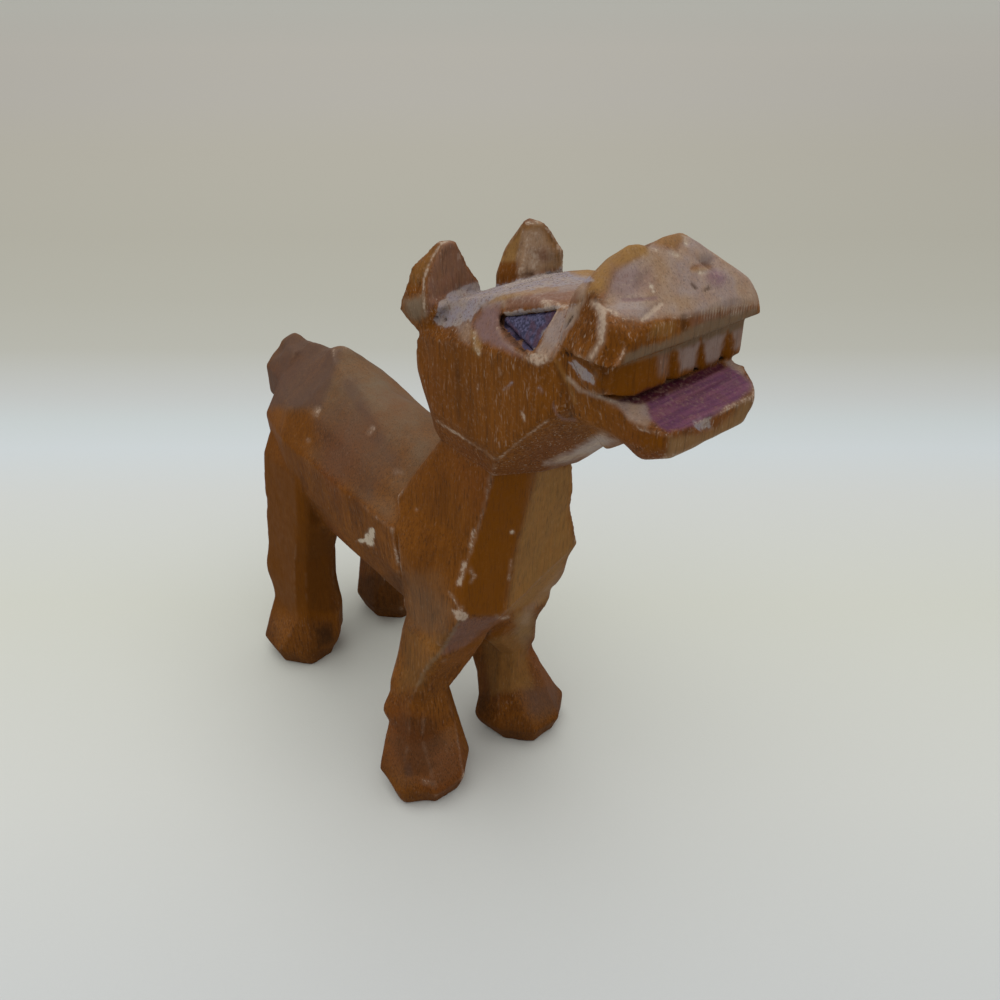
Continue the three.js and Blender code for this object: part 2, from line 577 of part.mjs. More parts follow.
function head() {
  let wood = skull().add(muzzle()).add(toothBand());
  wood = wood.subtract(pegHole(...headPeg));
  for (const [, side] of SIDES) {
    wood = wood.subtract(eyePocket(side)).subtract(nostril(side));
    wood = wood.subtract(pegHole(...jawPeg(side))).subtract(pegHole(...earPeg(side)));
  }
  return wood;
}

function lowerJaw() {
  const half = ({ top, side, keel }) => [top, side, keel];
  let wood = loft([
    acrossRing(faceX(GLUE_LINE), half(JAW_ROOT)),
    acrossRing(faceX(JAW_CORNER_STATION.x), half(JAW_CORNER_STATION)),
    acrossRing(faceX(JAW_MIDDLE.x), half(JAW_MIDDLE), half({ ...JAW_MIDDLE, top: JAW_LEFT_RIM })),
    acrossRing(faceX(JAW_TIP.x), half(JAW_TIP)),
  ]);
  for (const [, side] of SIDES) {
    wood = wood.subtract(pegHole(...jawPeg(side)));
  }
  return wood;
}

// Finishes: stained wood, plain peg wood and the dark eye inlay
const STAIN = { color: 0x8a5524, roughness: 0.55 };
const PEG_WOOD = { color: 0xc9a36b, roughness: 0.8 };
const EYE_PAINT = { color: 0x3b3a5c, roughness: 0.45 };

const figure = new THREE.Group();
function addPiece(name, solid, { color, roughness }, [x, y, z]) {
  const material = new THREE.MeshStandardMaterial({ color, roughness, metalness: 0 });
  const mesh = new THREE.Mesh(geometryOf(solid).translate(x, y, z), material);
  mesh.name = name;
  figure.add(mesh);
}

const onGround = [0, 0, 0];
const onLegs = [0, 0, BELLY_HEIGHT];
const onNeck = [napeX, 0, BELLY_HEIGHT + NECK_HEIGHT];
addPiece("torso", torso(), STAIN, onLegs);
addPiece("tail", tail(), STAIN, onLegs);
addPiece("tail_peg", peg(...tailPeg), PEG_WOOD, onLegs);
addPiece("neck_peg", peg(...headPeg), PEG_WOOD, onNeck);
addPiece("head", head(), STAIN, onNeck);
addPiece("lower_jaw", lowerJaw(), STAIN, onNeck);
for (const [name, side] of SIDES) {
  const frontSeatPeg = frontPeg(side, BELLY_HEIGHT);
  const hindSeatPeg = hindPeg(side, BELLY_HEIGHT);
  const frontLeg = leg(side, FRONT_HOOF_X, frontShank, FRONT_SEAT, frontSeatPeg);
  const hindLeg = leg(side, HIND_HOOF_X, hindShank, HIND_SEAT, hindSeatPeg);
  addPiece(`front_${name}_leg`, frontLeg, STAIN, onGround);
  addPiece(`hind_${name}_leg`, hindLeg, STAIN, onGround);
  addPiece(`front_${name}_leg_peg`, peg(...frontSeatPeg), PEG_WOOD, onGround);
  addPiece(`hind_${name}_leg_peg`, peg(...hindSeatPeg), PEG_WOOD, onGround);
  addPiece(`${name}_ear`, ear(side), STAIN, onNeck);
  addPiece(`${name}_eye`, eye(side), EYE_PAINT, onNeck);
  addPiece(`${name}_jaw_peg`, peg(...jawPeg(side)), PEG_WOOD, onNeck);
}

// The origin is on the ground under the middle of the figure's length.
const reach = new THREE.Box3().setFromObject(figure);
figure.position.x = -mean(reach.min.x, reach.max.x);

export default figure;
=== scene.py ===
# %% [markdown]
# # A whittled horse with an open mouth
# The figure is a palm-sized animal that was cut from wood with a knife, stained brown and worn by
# handling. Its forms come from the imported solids. This script adds what the knife, the stain and
# the years left on it: worn edges, hollow facets, chips, flaked filler and old paint.

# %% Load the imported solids
import json
import math

import bmesh
import bpy
import numpy as np
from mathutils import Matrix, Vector
from mathutils.bvhtree import BVHTree
from mathutils.kdtree import KDTree

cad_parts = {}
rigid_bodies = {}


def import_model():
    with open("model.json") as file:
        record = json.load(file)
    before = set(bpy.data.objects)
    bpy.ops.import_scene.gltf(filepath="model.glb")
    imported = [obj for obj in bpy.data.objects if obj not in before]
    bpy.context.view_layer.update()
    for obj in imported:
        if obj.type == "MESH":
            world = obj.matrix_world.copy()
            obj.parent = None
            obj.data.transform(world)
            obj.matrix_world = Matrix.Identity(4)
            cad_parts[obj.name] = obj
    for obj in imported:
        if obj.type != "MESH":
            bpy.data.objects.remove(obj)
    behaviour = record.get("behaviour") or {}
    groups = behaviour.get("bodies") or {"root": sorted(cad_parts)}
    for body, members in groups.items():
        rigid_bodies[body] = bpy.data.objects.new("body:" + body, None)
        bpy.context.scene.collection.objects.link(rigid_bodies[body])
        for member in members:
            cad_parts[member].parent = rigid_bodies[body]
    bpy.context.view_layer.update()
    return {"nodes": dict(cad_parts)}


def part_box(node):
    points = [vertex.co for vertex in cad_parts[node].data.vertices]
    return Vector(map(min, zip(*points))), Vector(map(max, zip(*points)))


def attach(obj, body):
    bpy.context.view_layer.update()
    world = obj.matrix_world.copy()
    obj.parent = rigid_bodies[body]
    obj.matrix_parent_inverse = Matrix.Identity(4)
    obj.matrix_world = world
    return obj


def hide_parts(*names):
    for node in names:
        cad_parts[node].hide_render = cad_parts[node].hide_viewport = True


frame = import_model()
MM = 1000
print("packed solids:", len(frame["nodes"]))

# %% [markdown]
# ## Camera
# The photograph was taken from close by, above the animal's right shoulder. The lens and the place
# were found by matching the hooves, ears and nose. Later steps use the same numbers to put a chip or a
# stain where the photograph shows it.

# %% Camera at the photograph's angle
SENSOR = 36
LENS = 33.3
CLIP_START = 0.01
PHOTO_SIZE = 1000
CAMERA_PLACE = Vector((104.8, -71.2, 136.8))
LOOK_YAW = math.radians(141.4)
LOOK_DOWN = math.radians(34.0)

level_look = Vector((math.cos(LOOK_YAW), math.sin(LOOK_YAW), 0))
look = level_look * math.cos(LOOK_DOWN) - Vector((0, 0, math.sin(LOOK_DOWN)))
camera_turn = look.to_track_quat("-Z", "Y")
camera_data = bpy.data.cameras.new("photo_camera")
camera_data.sensor_width = SENSOR
camera_data.lens = LENS
camera_data.clip_start = CLIP_START
camera = bpy.data.objects.new("photo_camera", camera_data)
camera.location = CAMERA_PLACE / MM
camera.rotation_euler = camera_turn.to_euler()
bpy.context.collection.objects.link(camera)
bpy.context.scene.camera = camera
print("camera looks along", [round(value, 3) for value in look])

# %% [markdown]
# ## Writing nodes as sums
# A material is a tree of nodes, and a long tree is hard to read as a list of links. One small class
# wraps a socket, so that a mask can be written as `1 - worn * 0.5` and each sum adds its own node.

# %% A socket that takes part in sums
class Wire:
    """An output in a node tree. Sums on it add Math nodes, and node() adds any other kind."""

    def __init__(self, tree, port=None):
        self.tree = tree
        self.port = port

    @staticmethod
    def pick(sockets, key):
        if isinstance(key, int):
            return sockets[key]
        ready = [socket for socket in sockets if socket.enabled and key in (None, socket.name)]
        return ready[0] if ready else None

    def node(self, kind, settings=None, inputs=None, output=None):
        """Adds a node: its settings first, then the values or wires of its inputs."""
        made = self.tree.nodes.new(kind)
        for key, value in (settings or {}).items():
            if key == "stops":
                set_stops(made.color_ramp, value)
            else:
                setattr(made, key, value)
        for key, value in (inputs or {}).items():
            socket = self.pick(made.inputs, key)
            if isinstance(value, Wire):
                self.tree.links.new(value.port, socket)
            else:
                socket.default_value = value
        return Wire(self.tree, self.pick(made.outputs, output))

    def other(self, output):
        """Another output of the same node."""
        return Wire(self.tree, self.pick(self.port.node.outputs, output))

    def math(self, operation, first, second):
        return self.node("ShaderNodeMath", {"operation": operation}, {0: first, 1: second})

    def __add__(self, other):
        return self.math("ADD", self, other)

    __radd__ = __add__

    def __sub__(self, other):
        return self.math("SUBTRACT", self, other)

    def __rsub__(self, other):
        return self.math("SUBTRACT", other, self)

    def __mul__(self, other):
        return self.math("MULTIPLY", self, other)

    __rmul__ = __mul__

    def between(self, low, high):
        """0 below low, 1 above high and a smooth step between them."""
        return self.node("ShaderNodeMapRange", {"interpolation_type": "SMOOTHSTEP"},
                         {"Value": self, "From Min": low, "From Max": high})

    def blend(self, start, end):
        """A colour from start to end, with this value as the share of end."""
        return self.node("ShaderNodeMix", {"data_type": "RGBA"},
                         {"Factor": self, "A": start, "B": end}, "Result")

    def times(self, factors):
        """This vector, scaled by a factor for each axis."""
        return self.node("ShaderNodeVectorMath", {"operation": "MULTIPLY"}, {0: self, 1: factors})

    def noise(self, size, detail=2.0):
        """Noise at this place, with lumps of about that size."""
        return self.node("ShaderNodeTexNoise", {},
                         {"Vector": self, "Scale": 1 / size, "Detail": detail}, "Fac")


# %% Colours and materials
def set_stops(ramp, stops):
    """Gives a colour ramp its places and colours."""
    while len(ramp.elements) < len(stops):
        ramp.elements.new(0.5)
    for element, (place, colour) in zip(ramp.elements, stops):
        element.position = place
        element.color = colour


def tint(code):
    """A colour as it is seen on a screen, in the linear values that nodes use."""
    shares = [int(code[i:i + 2], 16) / 255 for i in (1, 3, 5)]
    return tuple(s / 12.92 if s < 0.04045 else ((s + 0.055) / 1.055) ** 2.4 for s in shares) + (1.0,)


def new_material(name):
    """An empty material, with the place on the object in millimetres as a wire."""
    material = bpy.data.materials.new(name)
    material.use_nodes = True
    material.node_tree.nodes.clear()
    place = Wire(material.node_tree).node("ShaderNodeTexCoord", {}, {}, "Object").times((MM, MM, MM))
    return material, place


def finish_material(start, surface, height, bump_depth):
    """Ends a material in a Principled shader with a bump of that depth in millimetres."""
    normal = start.node("ShaderNodeBump", {}, {"Distance": bump_depth / MM, "Height": height})
    shader = start.node("ShaderNodeBsdfPrincipled", {}, {**surface, "Normal": normal})
    start.node("ShaderNodeOutputMaterial", {}, {"Surface": shader})


# %% [markdown]
# ## Floor and light
# The horse stands in a small light tent: pale paper underfoot and soft light from all sides, most of it
# from above. One large flat sheet is enough, because the camera looks down so far that it sees nothing
# but paper. Its tone follows the distance from the camera's foot and is painted light: cooler and then
# duller with distance as the tent's light falls off across the paper, and paler again far off, to make up
# for the lamp reaching less there.

# %% Paper floor
FLOOR_REACH = 3.0
FIBRE_SIZE = 0.4
FIBRE_BUMP = 0.02
# Painted light: these tones stand in for how the tent's light falls across the paper, and grow paler far off
# to make up for the lamp reaching less there.
PAPER_LIGHT_TONES = [
    (70, "#c8cbc8"), (107, "#ced0c9"), (160, "#cccec2"), (205, "#cccfca"), (229, "#cad1d1"),
    (245, "#c5ccca"), (262, "#c0c3bf"), (298, "#b5b5aa"), (345, "#b2b1a4"), (420, "#b2b0a2"),
    (580, "#bab7a9"), (730, "#c2bfb4"), (970, "#cecbbf"), (1310, "#d5d5c9")]

floor_mesh = bpy.data.meshes.new("paper_floor")
floor_mesh.from_pydata(
    [(x * FLOOR_REACH, y * FLOOR_REACH, 0) for x, y in [(-1, -1), (1, -1), (1, 1), (-1, 1)]],
    [], [(0, 1, 2, 3)])
paper_floor = bpy.data.objects.new("paper_floor", floor_mesh)
bpy.context.collection.objects.link(paper_floor)
paper, place = new_material("paper_with_painted_light")
away = place.node("ShaderNodeVectorMath", {"operation": "DOT_PRODUCT"}, {0: place, 1: level_look}, "Value")
nearest, farthest = PAPER_LIGHT_TONES[0][0], PAPER_LIGHT_TONES[-1][0]
share = (away - (level_look.dot(CAMERA_PLACE) + nearest)) * (1 / (farthest - nearest))
stops = [((far - nearest) / (farthest - nearest), tint(code)) for far, code in PAPER_LIGHT_TONES]
painted_paper_light = place.node("ShaderNodeValToRGB", {"stops": stops}, {"Fac": share}, "Color")
finish_material(place, {"Base Color": painted_paper_light, "Roughness": 0.9, "Specular IOR Level": 0.1},
                place.noise(FIBRE_SIZE), FIBRE_BUMP)
floor_mesh.materials.append(paper)
print("paper floor:", 2 * FLOOR_REACH, "m wide, tones:", len(PAPER_LIGHT_TONES))

# %% Tent light
SKY_STRENGTH = 0.62
SKY_TINT = "#fdfcff"
SOFTBOX_SIZE = 0.9
SOFTBOX_PLACE = (-0.05, -0.05, 0.65)
SOFTBOX_WATTS = 3.0

world = bpy.data.worlds.new("tent")
bpy.context.scene.world = world
world.use_nodes = True
sky = world.node_tree.nodes["Background"]
sky.inputs["Color"].default_value = tint(SKY_TINT)
sky.inputs["Strength"].default_value = SKY_STRENGTH
softbox_data = bpy.data.lights.new("softbox", "AREA")
softbox_data.size = SOFTBOX_SIZE
softbox_data.energy = SOFTBOX_WATTS
softbox = bpy.data.objects.new("softbox", softbox_data)
softbox.location = SOFTBOX_PLACE
bpy.context.collection.objects.link(softbox)
bpy.context.scene.view_settings.view_transform = "Standard"
print("light: sky", SKY_STRENGTH, "softbox", SOFTBOX_WATTS, "W")

# %% [markdown]
# ## Two blanks
# The real figure shows no glue lines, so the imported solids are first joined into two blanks, one for
# the body and one for the head, which needs finer detail. Each mating face is moved a little way into
# its neighbour, so that the glue line closes when the blank is remeshed. The jaw's top is lifted at the
# corner of the mouth, where the photograph shows closed wood.

# %% Where the solids meet
SINK = 0.6
GLUE_LINE = 0.3
UP, FORWARD, BACKWARD = (0, 0, 1), (1, 0, 0), (-1, 0, 0)
LEFT, RIGHT = (0, 1, 0), (0, -1, 0)

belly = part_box("torso")[0].z * MM
neck_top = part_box("torso")[1].z * MM
rump = (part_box("tail_peg")[0].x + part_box("tail_peg")[1].x) / 2 * MM
jaw_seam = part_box("lower_jaw")[0].x * MM
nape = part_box("head")[0].x * MM
# The ears stand on the slope between these two places.
EAR_SEAT = np.array([1.2 + nape, 0, 15.6 + neck_top])
POLL = np.array([7.3 + nape, 0, 22.5 + neck_top])
ear_slope = (POLL - EAR_SEAT) / np.linalg.norm(POLL - EAR_SEAT)
ear_up = np.array([-ear_slope[2], 0, ear_slope[0]])
ear_foot = (tuple(-ear_up), SINK, -(ear_up @ EAR_SEAT) - GLUE_LINE)
print("belly", belly, "neck", neck_top, "rump", rump, "jaw seam", jaw_seam, "nape", nape)

# %% Copies of the solids with their glue lines closed
FLAT = 0.02
MERGE_GAP = 1e-6


def packed_solid(name):
    """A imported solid's corners in millimetres and its triangles, with shared corners merged."""
    merged = bmesh.new()
    merged.from_mesh(frame["nodes"][name].data)
    bmesh.ops.remove_doubles(merged, verts=merged.verts, dist=MERGE_GAP)
    merged.verts.index_update()
    corners = np.array([vertex.co[:] for vertex in merged.verts]) * MM
    triangles = [[vertex.index for vertex in face.verts] for face in merged.faces]
    merged.free()
    return corners, triangles


def sink(corners, along, depth=SINK, level=None):
    """Moves a flat of the solid along its own direction: the outermost one, or the one at a level."""
    reach = corners @ along
    level = reach.max() if level is None else level
    corners[np.abs(reach - level) < FLAT] += depth * np.array(along)


def new_object(name, points, faces):
    """An object of these points and faces, in the scene."""
    mesh = bpy.data.meshes.new(name)
    mesh.from_pydata(points, [], faces)
    made = bpy.data.objects.new(name, mesh)
    bpy.context.collection.objects.link(made)
    return made


def blank_of(name, seams):
    """One object, in millimetres, of the named solids with their mating faces sunk."""
    corners, faces = [], []
    for solid, moves in seams.items():
        own, triangles = packed_solid(solid)
        for move in moves:
            sink(own, *move)
        first = sum(len(block) for block in corners)
        corners.append(own)
        faces += [[first + corner for corner in triangle] for triangle in triangles]
    return new_object(name, np.concatenate(corners), faces)


# %% Join the blanks
NECK_SINK = 1.5
JAW_ROOT_TOP = 23.3
JAW_CORNER_TOP = 20.5
MOUTH_CORNER_LIFT = 0.9

body_blank = blank_of("body_blank", {
    "torso": [(UP, NECK_SINK)],
    "tail": [(FORWARD,)],
    "front_right_leg": [(UP,), (LEFT,)],
    "front_left_leg": [(UP,), (RIGHT,)],
    "hind_right_leg": [(UP,)],
    "hind_left_leg": [(UP,)],
})
head_blank = blank_of("head_blank", {
    "head": [],
    "lower_jaw": [(BACKWARD,), (UP, MOUTH_CORNER_LIFT, neck_top + JAW_ROOT_TOP),
                  (UP, MOUTH_CORNER_LIFT, neck_top + JAW_CORNER_TOP)],
    "right_ear": [ear_foot],
    "left_ear": [ear_foot],
})
print("corners in the blanks:", len(body_blank.data.vertices), len(head_blank.data.vertices))

# %% [markdown]
# ## Finishes
# The stain is a warm brown that has gone thin in places, over wood whose grain runs upright. On top of
# it come finishes that later steps mark on the mesh, one value per corner each: bare orange wood, pale
# bloom and dust, filler, paint, chips, grime and more. Some of them paint light: the pale bloom and dust
# also paint the sheen of the light on what faces up, the grime also paints the shade in cuts, creases and
# hollows, and some chips are painted highlights. Noise in the material breaks up their outlines, because
# the mesh is too coarse for the finest crumbs.

# %% Tints of the wood and of the finishes on it
STAIN_DEEP, STAIN_WARM, STAIN_RED = tint("#5b3209"), tint("#7d4a14"), tint("#693917")
# The bloom and dust tints also paint the sheen of the light on what faces up, the grime tint also paints the
# shade in cuts, creases and hollows, and the chip tint also paints small highlights.
MARK_TINTS = {
    "dust": tint("#6f5e4a"), "dusk": tint("#543f35"), "bloom": tint("#99867b"), "honey": tint("#94703f"),
    "raw": tint("#6f3e00"), "pink": tint("#7c6360"), "rust": tint("#77523f"), "crust": tint("#8e8484"),
    "paint": tint("#70465a"), "plum": tint("#3c1322"), "tooth": tint("#8a766c"), "dark": tint("#35200f"),
    "ink": tint("#413d55"), "grime": tint("#2a1509"), "worn": tint("#b29d88"), "chip": tint("#c2b49f"),
}
WASHES = {"dust", "dusk", "bloom", "honey", "raw", "pink", "dark", "paint", "plum", "tooth", "rust"}
print("finishes:", len(MARK_TINTS), "of them thin washes:", len(WASHES))

# %% Patterns in the wood
GRAIN_STRETCH = (1, 1, 0.05)
DASH_STRETCH = (1, 1, 0.2)
PATCH_STRETCH = (1, 1, 0.5)
BROAD_STRETCH = (1, 1, 0.7)
STREAK_STRETCH = (1, 0.06, 1)
GRAIN_SIZE, PORE_SIZE, DASH_SIZE = 0.5, 0.2, 0.26
CRUMB_SIZE, SMEAR_SIZE, STREAK_SIZE = 0.4, 1.7, 0.5
DRIFT_SIZE, PATCH_SIZE, BROAD_SIZE = 4.5, 8.0, 21.0
CRISP_LEVEL = (64, 76)


def coordinate(place, axis):
    """One coordinate of a place."""
    return place.node("ShaderNodeSeparateXYZ", {}, {"Vector": place}, axis)


def wood_patterns(place):
    """The fields that all wood shares. Rubbed dashes are crisp on the head and faint lower down."""
    crumbs, smears = place.noise(CRUMB_SIZE, 3.0), place.noise(SMEAR_SIZE, 3.0)
    return {
        "grain": place.times(GRAIN_STRETCH).noise(GRAIN_SIZE, 3.0),
        "pores": place.times(GRAIN_STRETCH).noise(PORE_SIZE, 1.0),
        "dashes": place.times(DASH_STRETCH).noise(DASH_SIZE, 1.0),
        "patches": place.times(PATCH_STRETCH).noise(PATCH_SIZE),
        "broad": place.times(BROAD_STRETCH).noise(BROAD_SIZE, 1.0),
        "streaks": place.times(STREAK_STRETCH).noise(STREAK_SIZE).between(0.35, 0.65),
        "drift": place.noise(DRIFT_SIZE).between(0.4, 0.6),
        "crumbs": crumbs, "grit": crumbs.between(0.3, 0.7),
        "smears": smears, "clouds": smears.between(0.3, 0.7),
        "crisp": 0.3 + 0.7 * coordinate(place, "Z").between(*CRISP_LEVEL),
    }


def marked_on(place, finish):
    """The value per corner of a finish."""
    return place.node("ShaderNodeAttribute", {"attribute_name": finish}, {}, "Fac")


# %% Stained wood
TICK_PITCH = 0.44
WOOD_BUMP = 0.08


def stain_colour(pattern):
    """Stain that is deep, warm or red by turns, dark in the pores and rubbed pale in short dashes."""
    dashes, crumbs = pattern["dashes"], pattern["crumbs"]
    warmth = (pattern["grain"] * 0.6 + pattern["patches"] * 0.7).between(0.42, 0.88)
    colour = warmth.blend(STAIN_DEEP, STAIN_WARM)
    colour = (pattern["broad"].between(0.5, 0.7) * 0.8).blend(colour, STAIN_RED)
    colour = (pattern["pores"].between(0.56, 0.72) * 0.45).blend(colour, MARK_TINTS["dark"])
    colour = (dashes.between(0.42, 0.3) * 0.4).blend(colour, MARK_TINTS["dark"])
    rubbed = dashes.between(0.6, 0.72) * pattern["smears"].between(0.42, 0.58)
    rubbed = rubbed * 0.42 + crumbs.between(0.46, 0.32) * 0.12
    return (rubbed * pattern["crisp"]).blend(colour, MARK_TINTS["worn"])


def marked_colour(place, pattern, colour):
    """The marked finishes over the stain. A wash is even, and any other finish comes off in flakes."""
    clouds, grit = pattern["clouds"], pattern["grit"]
    tones = {"paint": pattern["streaks"].blend(tint("#5d3950"), MARK_TINTS["paint"]),
             "bloom": pattern["drift"].blend(tint("#96877f"), tint("#9b8571")),
             "crust": clouds.blend(tint("#8a8287"), tint("#95877d"))}
    for finish, own_tint in MARK_TINTS.items():
        value = marked_on(place, finish)
        if finish in WASHES:
            share = value * (0.7 + 0.25 * clouds + 0.25 * grit)
        else:
            flaked = (value * 1.45 - grit * 0.45 - clouds * 0.4).between(0.05, 0.75)
            share = value * 0.35 + flaked * 0.65
        colour = (share * 0.95).blend(colour, tones.get(finish, own_tint))
    return colour


def stained_wood(name):
    """Stain, marks, the saw ticks along the lip, and specks and painted glints on top."""
    material, place = new_material(name)
    pattern = wood_patterns(place)
    pores, crumbs = pattern["pores"], pattern["crumbs"]
    bloom, crust = marked_on(place, "bloom"), marked_on(place, "crust")
    wave = place.math("PINGPONG", coordinate(place, "Y"), TICK_PITCH / 2)
    tick = marked_on(place, "tick") * wave * (2 / TICK_PITCH)
    colour = marked_colour(place, pattern, stain_colour(pattern))
    colour = (tick * pattern["clouds"] * 0.8).blend(colour, MARK_TINTS["worn"])
    colour = (pores.between(0.52, 0.72) * 0.22).blend(colour, MARK_TINTS["dark"])
    specks = (0.12 + bloom * 0.1 + crust * 0.2) * crumbs.between(0.54, 0.68)
    colour = specks.blend(colour, STAIN_RED)
    # Painted highlights: small pale glints on the bloom, in the worn tint.
    glints = bloom * 0.25 * crumbs.between(0.46, 0.32)
    colour = glints.blend(colour, MARK_TINTS["worn"])
    height = pattern["grain"] * 0.5 + pores * 0.35 + crust * crumbs * 0.9
    height = height + pattern["smears"] * 0.6 + tick * 1.5
    roughness = 0.5 + 0.25 * pattern["smears"] + 0.2 * crust
    finish_material(place, {"Base Color": colour, "Roughness": roughness, "Specular IOR Level": 0.06},
                    height, WOOD_BUMP)
    return material


wood = stained_wood("stained_wood")
print("wood nodes:", len(wood.node_tree.nodes))

# %% Eye paint
EYE_SPECK, EYE_BLOT, EYE_BUMP = 0.35, 1.4, 0.1

eye_paint, place = new_material("eye_paint")
speck = place.noise(EYE_SPECK, 3.0)
blot = place.noise(EYE_BLOT)
colour = speck.between(0.4, 0.62).blend(tint("#2d2b44"), tint("#55526e"))
colour = (blot.between(0.5, 0.66) * 0.7).blend(colour, tint("#4a2f3e"))
colour = marked_on(place, "bloom").blend(colour, tint("#8f7f78"))
colour = marked_on(place, "plum").blend(colour, tint("#472a38"))
finish_material(place, {"Base Color": colour, "Roughness": 0.45 + 0.2 * speck, "Specular IOR Level": 0.25},
                speck + blot, EYE_BUMP)
print("eye paint nodes:", len(eye_paint.node_tree.nodes))

# %% Filler crumbs and peg wood
FILLER_SPECK, FILLER_BLOT, FILLER_BUMP = 0.25, 1.2, 0.06
PEG_GRAIN, PEG_BUMP = 0.4, 0.05

filler, place = new_material("filler_crumb")
speck = place.noise(FILLER_SPECK, 3.0)
colour = place.noise(FILLER_BLOT).between(0.4, 0.65).blend(tint("#857b7a"), tint("#a3968c"))
finish_material(place, {"Base Color": speck.between(0.3, 0.6).blend(tint("#6d5d50"), colour),
                        "Roughness": 0.7 + 0.2 * speck, "Specular IOR Level": 0.15}, speck, FILLER_BUMP)

peg_wood, place = new_material("peg_wood")
ring = place.times(GRAIN_STRETCH).noise(PEG_GRAIN, 3.0)
finish_material(place, {"Base Color": ring.between(0.35, 0.7).blend(tint("#a9824e"), tint("#cfae7c")),
                        "Roughness": 0.6 + 0.2 * ring, "Specular IOR Level": 0.2}, ring, PEG_BUMP)
pegs = [node for name, node in frame["nodes"].items() if name.endswith("_peg")]
for node in pegs:
    for material_slot in node.material_slots:
        material_slot.material = peg_wood
print("pegs given a grain:", len(pegs))

# %% [markdown]
# ## Knife work as a rule
# Every facet was left by a knife and then rubbed by hands: the edges are a little round, and the flats
# are hollow and wavy. That is one rule for the whole figure, so a Geometry Nodes tree carries it out on
# a finely remeshed blank. Beveling the edges of the solids would be the other way, but bevels break
# where many facets meet in one corner.

# %% Trees that are made and carried out
def geometry_tree(name, sizes):
    """A new tree with a geometry socket and the given sizes, and its inputs as wires."""
    tree = bpy.data.node_groups.new(name, "GeometryNodeTree")
    tree.interface.new_socket("Geometry", in_out="OUTPUT", socket_type="NodeSocketGeometry")
    tree.interface.new_socket("Geometry", in_out="INPUT", socket_type="NodeSocketGeometry")
    for label, kind in sizes.items():
        tree.interface.new_socket(label, in_out="INPUT", socket_type=f"NodeSocket{kind}")
    given = tree.nodes.new("NodeGroupInput")
    return Wire(tree), {socket.name: Wire(tree, socket) for socket in given.outputs}


def end_tree(start, geometry, finish):
    """Ends a tree with plain, finished geometry."""
    plain = start.node("GeometryNodeRealizeInstances", {}, {"Geometry": geometry})
    finished = start.node("GeometryNodeSetMaterial", {}, {"Geometry": plain, "Material": finish})
    start.node("NodeGroupOutput", {}, {"Geometry": finished})


def run_tree(thing, tree, sizes):
    """Carries a tree out on an object and gives the plain mesh. The object is used up."""
    modifier = thing.modifiers.new(tree.name, "NODES")
    modifier.node_group = tree
    for item in tree.interface.items_tree:
        if item.in_out == "INPUT" and item.name in sizes:
            modifier[item.identifier] = sizes[item.name]
    graph = bpy.context.evaluated_depsgraph_get()
    mesh = bpy.data.meshes.new_from_object(thing.evaluated_get(graph))
    bpy.data.objects.remove(thing)
    return mesh


# %% The tree that wears a blank
HOLLOW_STRETCH = (1, 1, 0.6)

start, given = geometry_tree("worn_knife_work", {
    "Softness": "Int", "Hollow Depth": "Float", "Hollow Size": "Float",
    "Ripple Depth": "Float", "Ripple Size": "Float", "Finish": "Material"})
worn_work = start.tree
position = start.node("GeometryNodeInputPosition")
rounded = start.node("GeometryNodeBlurAttribute", {"data_type": "FLOAT_VECTOR"},
                     {"Value": position, "Iterations": given["Softness"]})
soft = start.node("GeometryNodeSetPosition", {}, {"Geometry": given["Geometry"], "Position": rounded})
lift = 0.0
for size, depth in [("Hollow Size", "Hollow Depth"), ("Ripple Size", "Ripple Depth")]:
    scaled = start.node("ShaderNodeVectorMath", {"operation": "DIVIDE"},
                        {0: position.times(HOLLOW_STRETCH), 1: given[size]})
    lift = (scaled.noise(1.0, 1.0) - 0.5) * given[depth] + lift
normal = start.node("GeometryNodeInputNormal")
push = start.node("ShaderNodeVectorMath", {"operation": "SCALE"}, {0: normal, "Scale": lift})
worn = start.node("GeometryNodeSetPosition", {}, {"Geometry": soft, "Offset": push})
end_tree(start, worn, given["Finish"])
print("knife work nodes:", len(worn_work.nodes))

# %% Soft steps and waves
WAVES = 9


def smooth_step(low, high, value):
    """0 at low, 1 at high and a smooth step between them."""
    share = np.clip((value - low) / (high - low), 0, 1)
    return share * share * (3 - 2 * share)


def wobble(points, size, seed):
    """A smooth field between about -1 and 1 that changes over the given size."""
    draw = np.random.default_rng(seed)
    ways = draw.normal(size=(3, WAVES)) / size * 2
    return np.sin(points @ ways + draw.uniform(0, 2 * math.pi, WAVES)).sum(axis=1) / (WAVES / 2)


def rounds_for(reach, voxel):
    """How often a mesh of that voxel is averaged to blur it about that far."""
    return max(1, round(2 * (reach / voxel) ** 2))


# %% A worn blank as arrays
FACING = 0.03
HIDDEN_BY = 0.3
LEDGE = 1.2


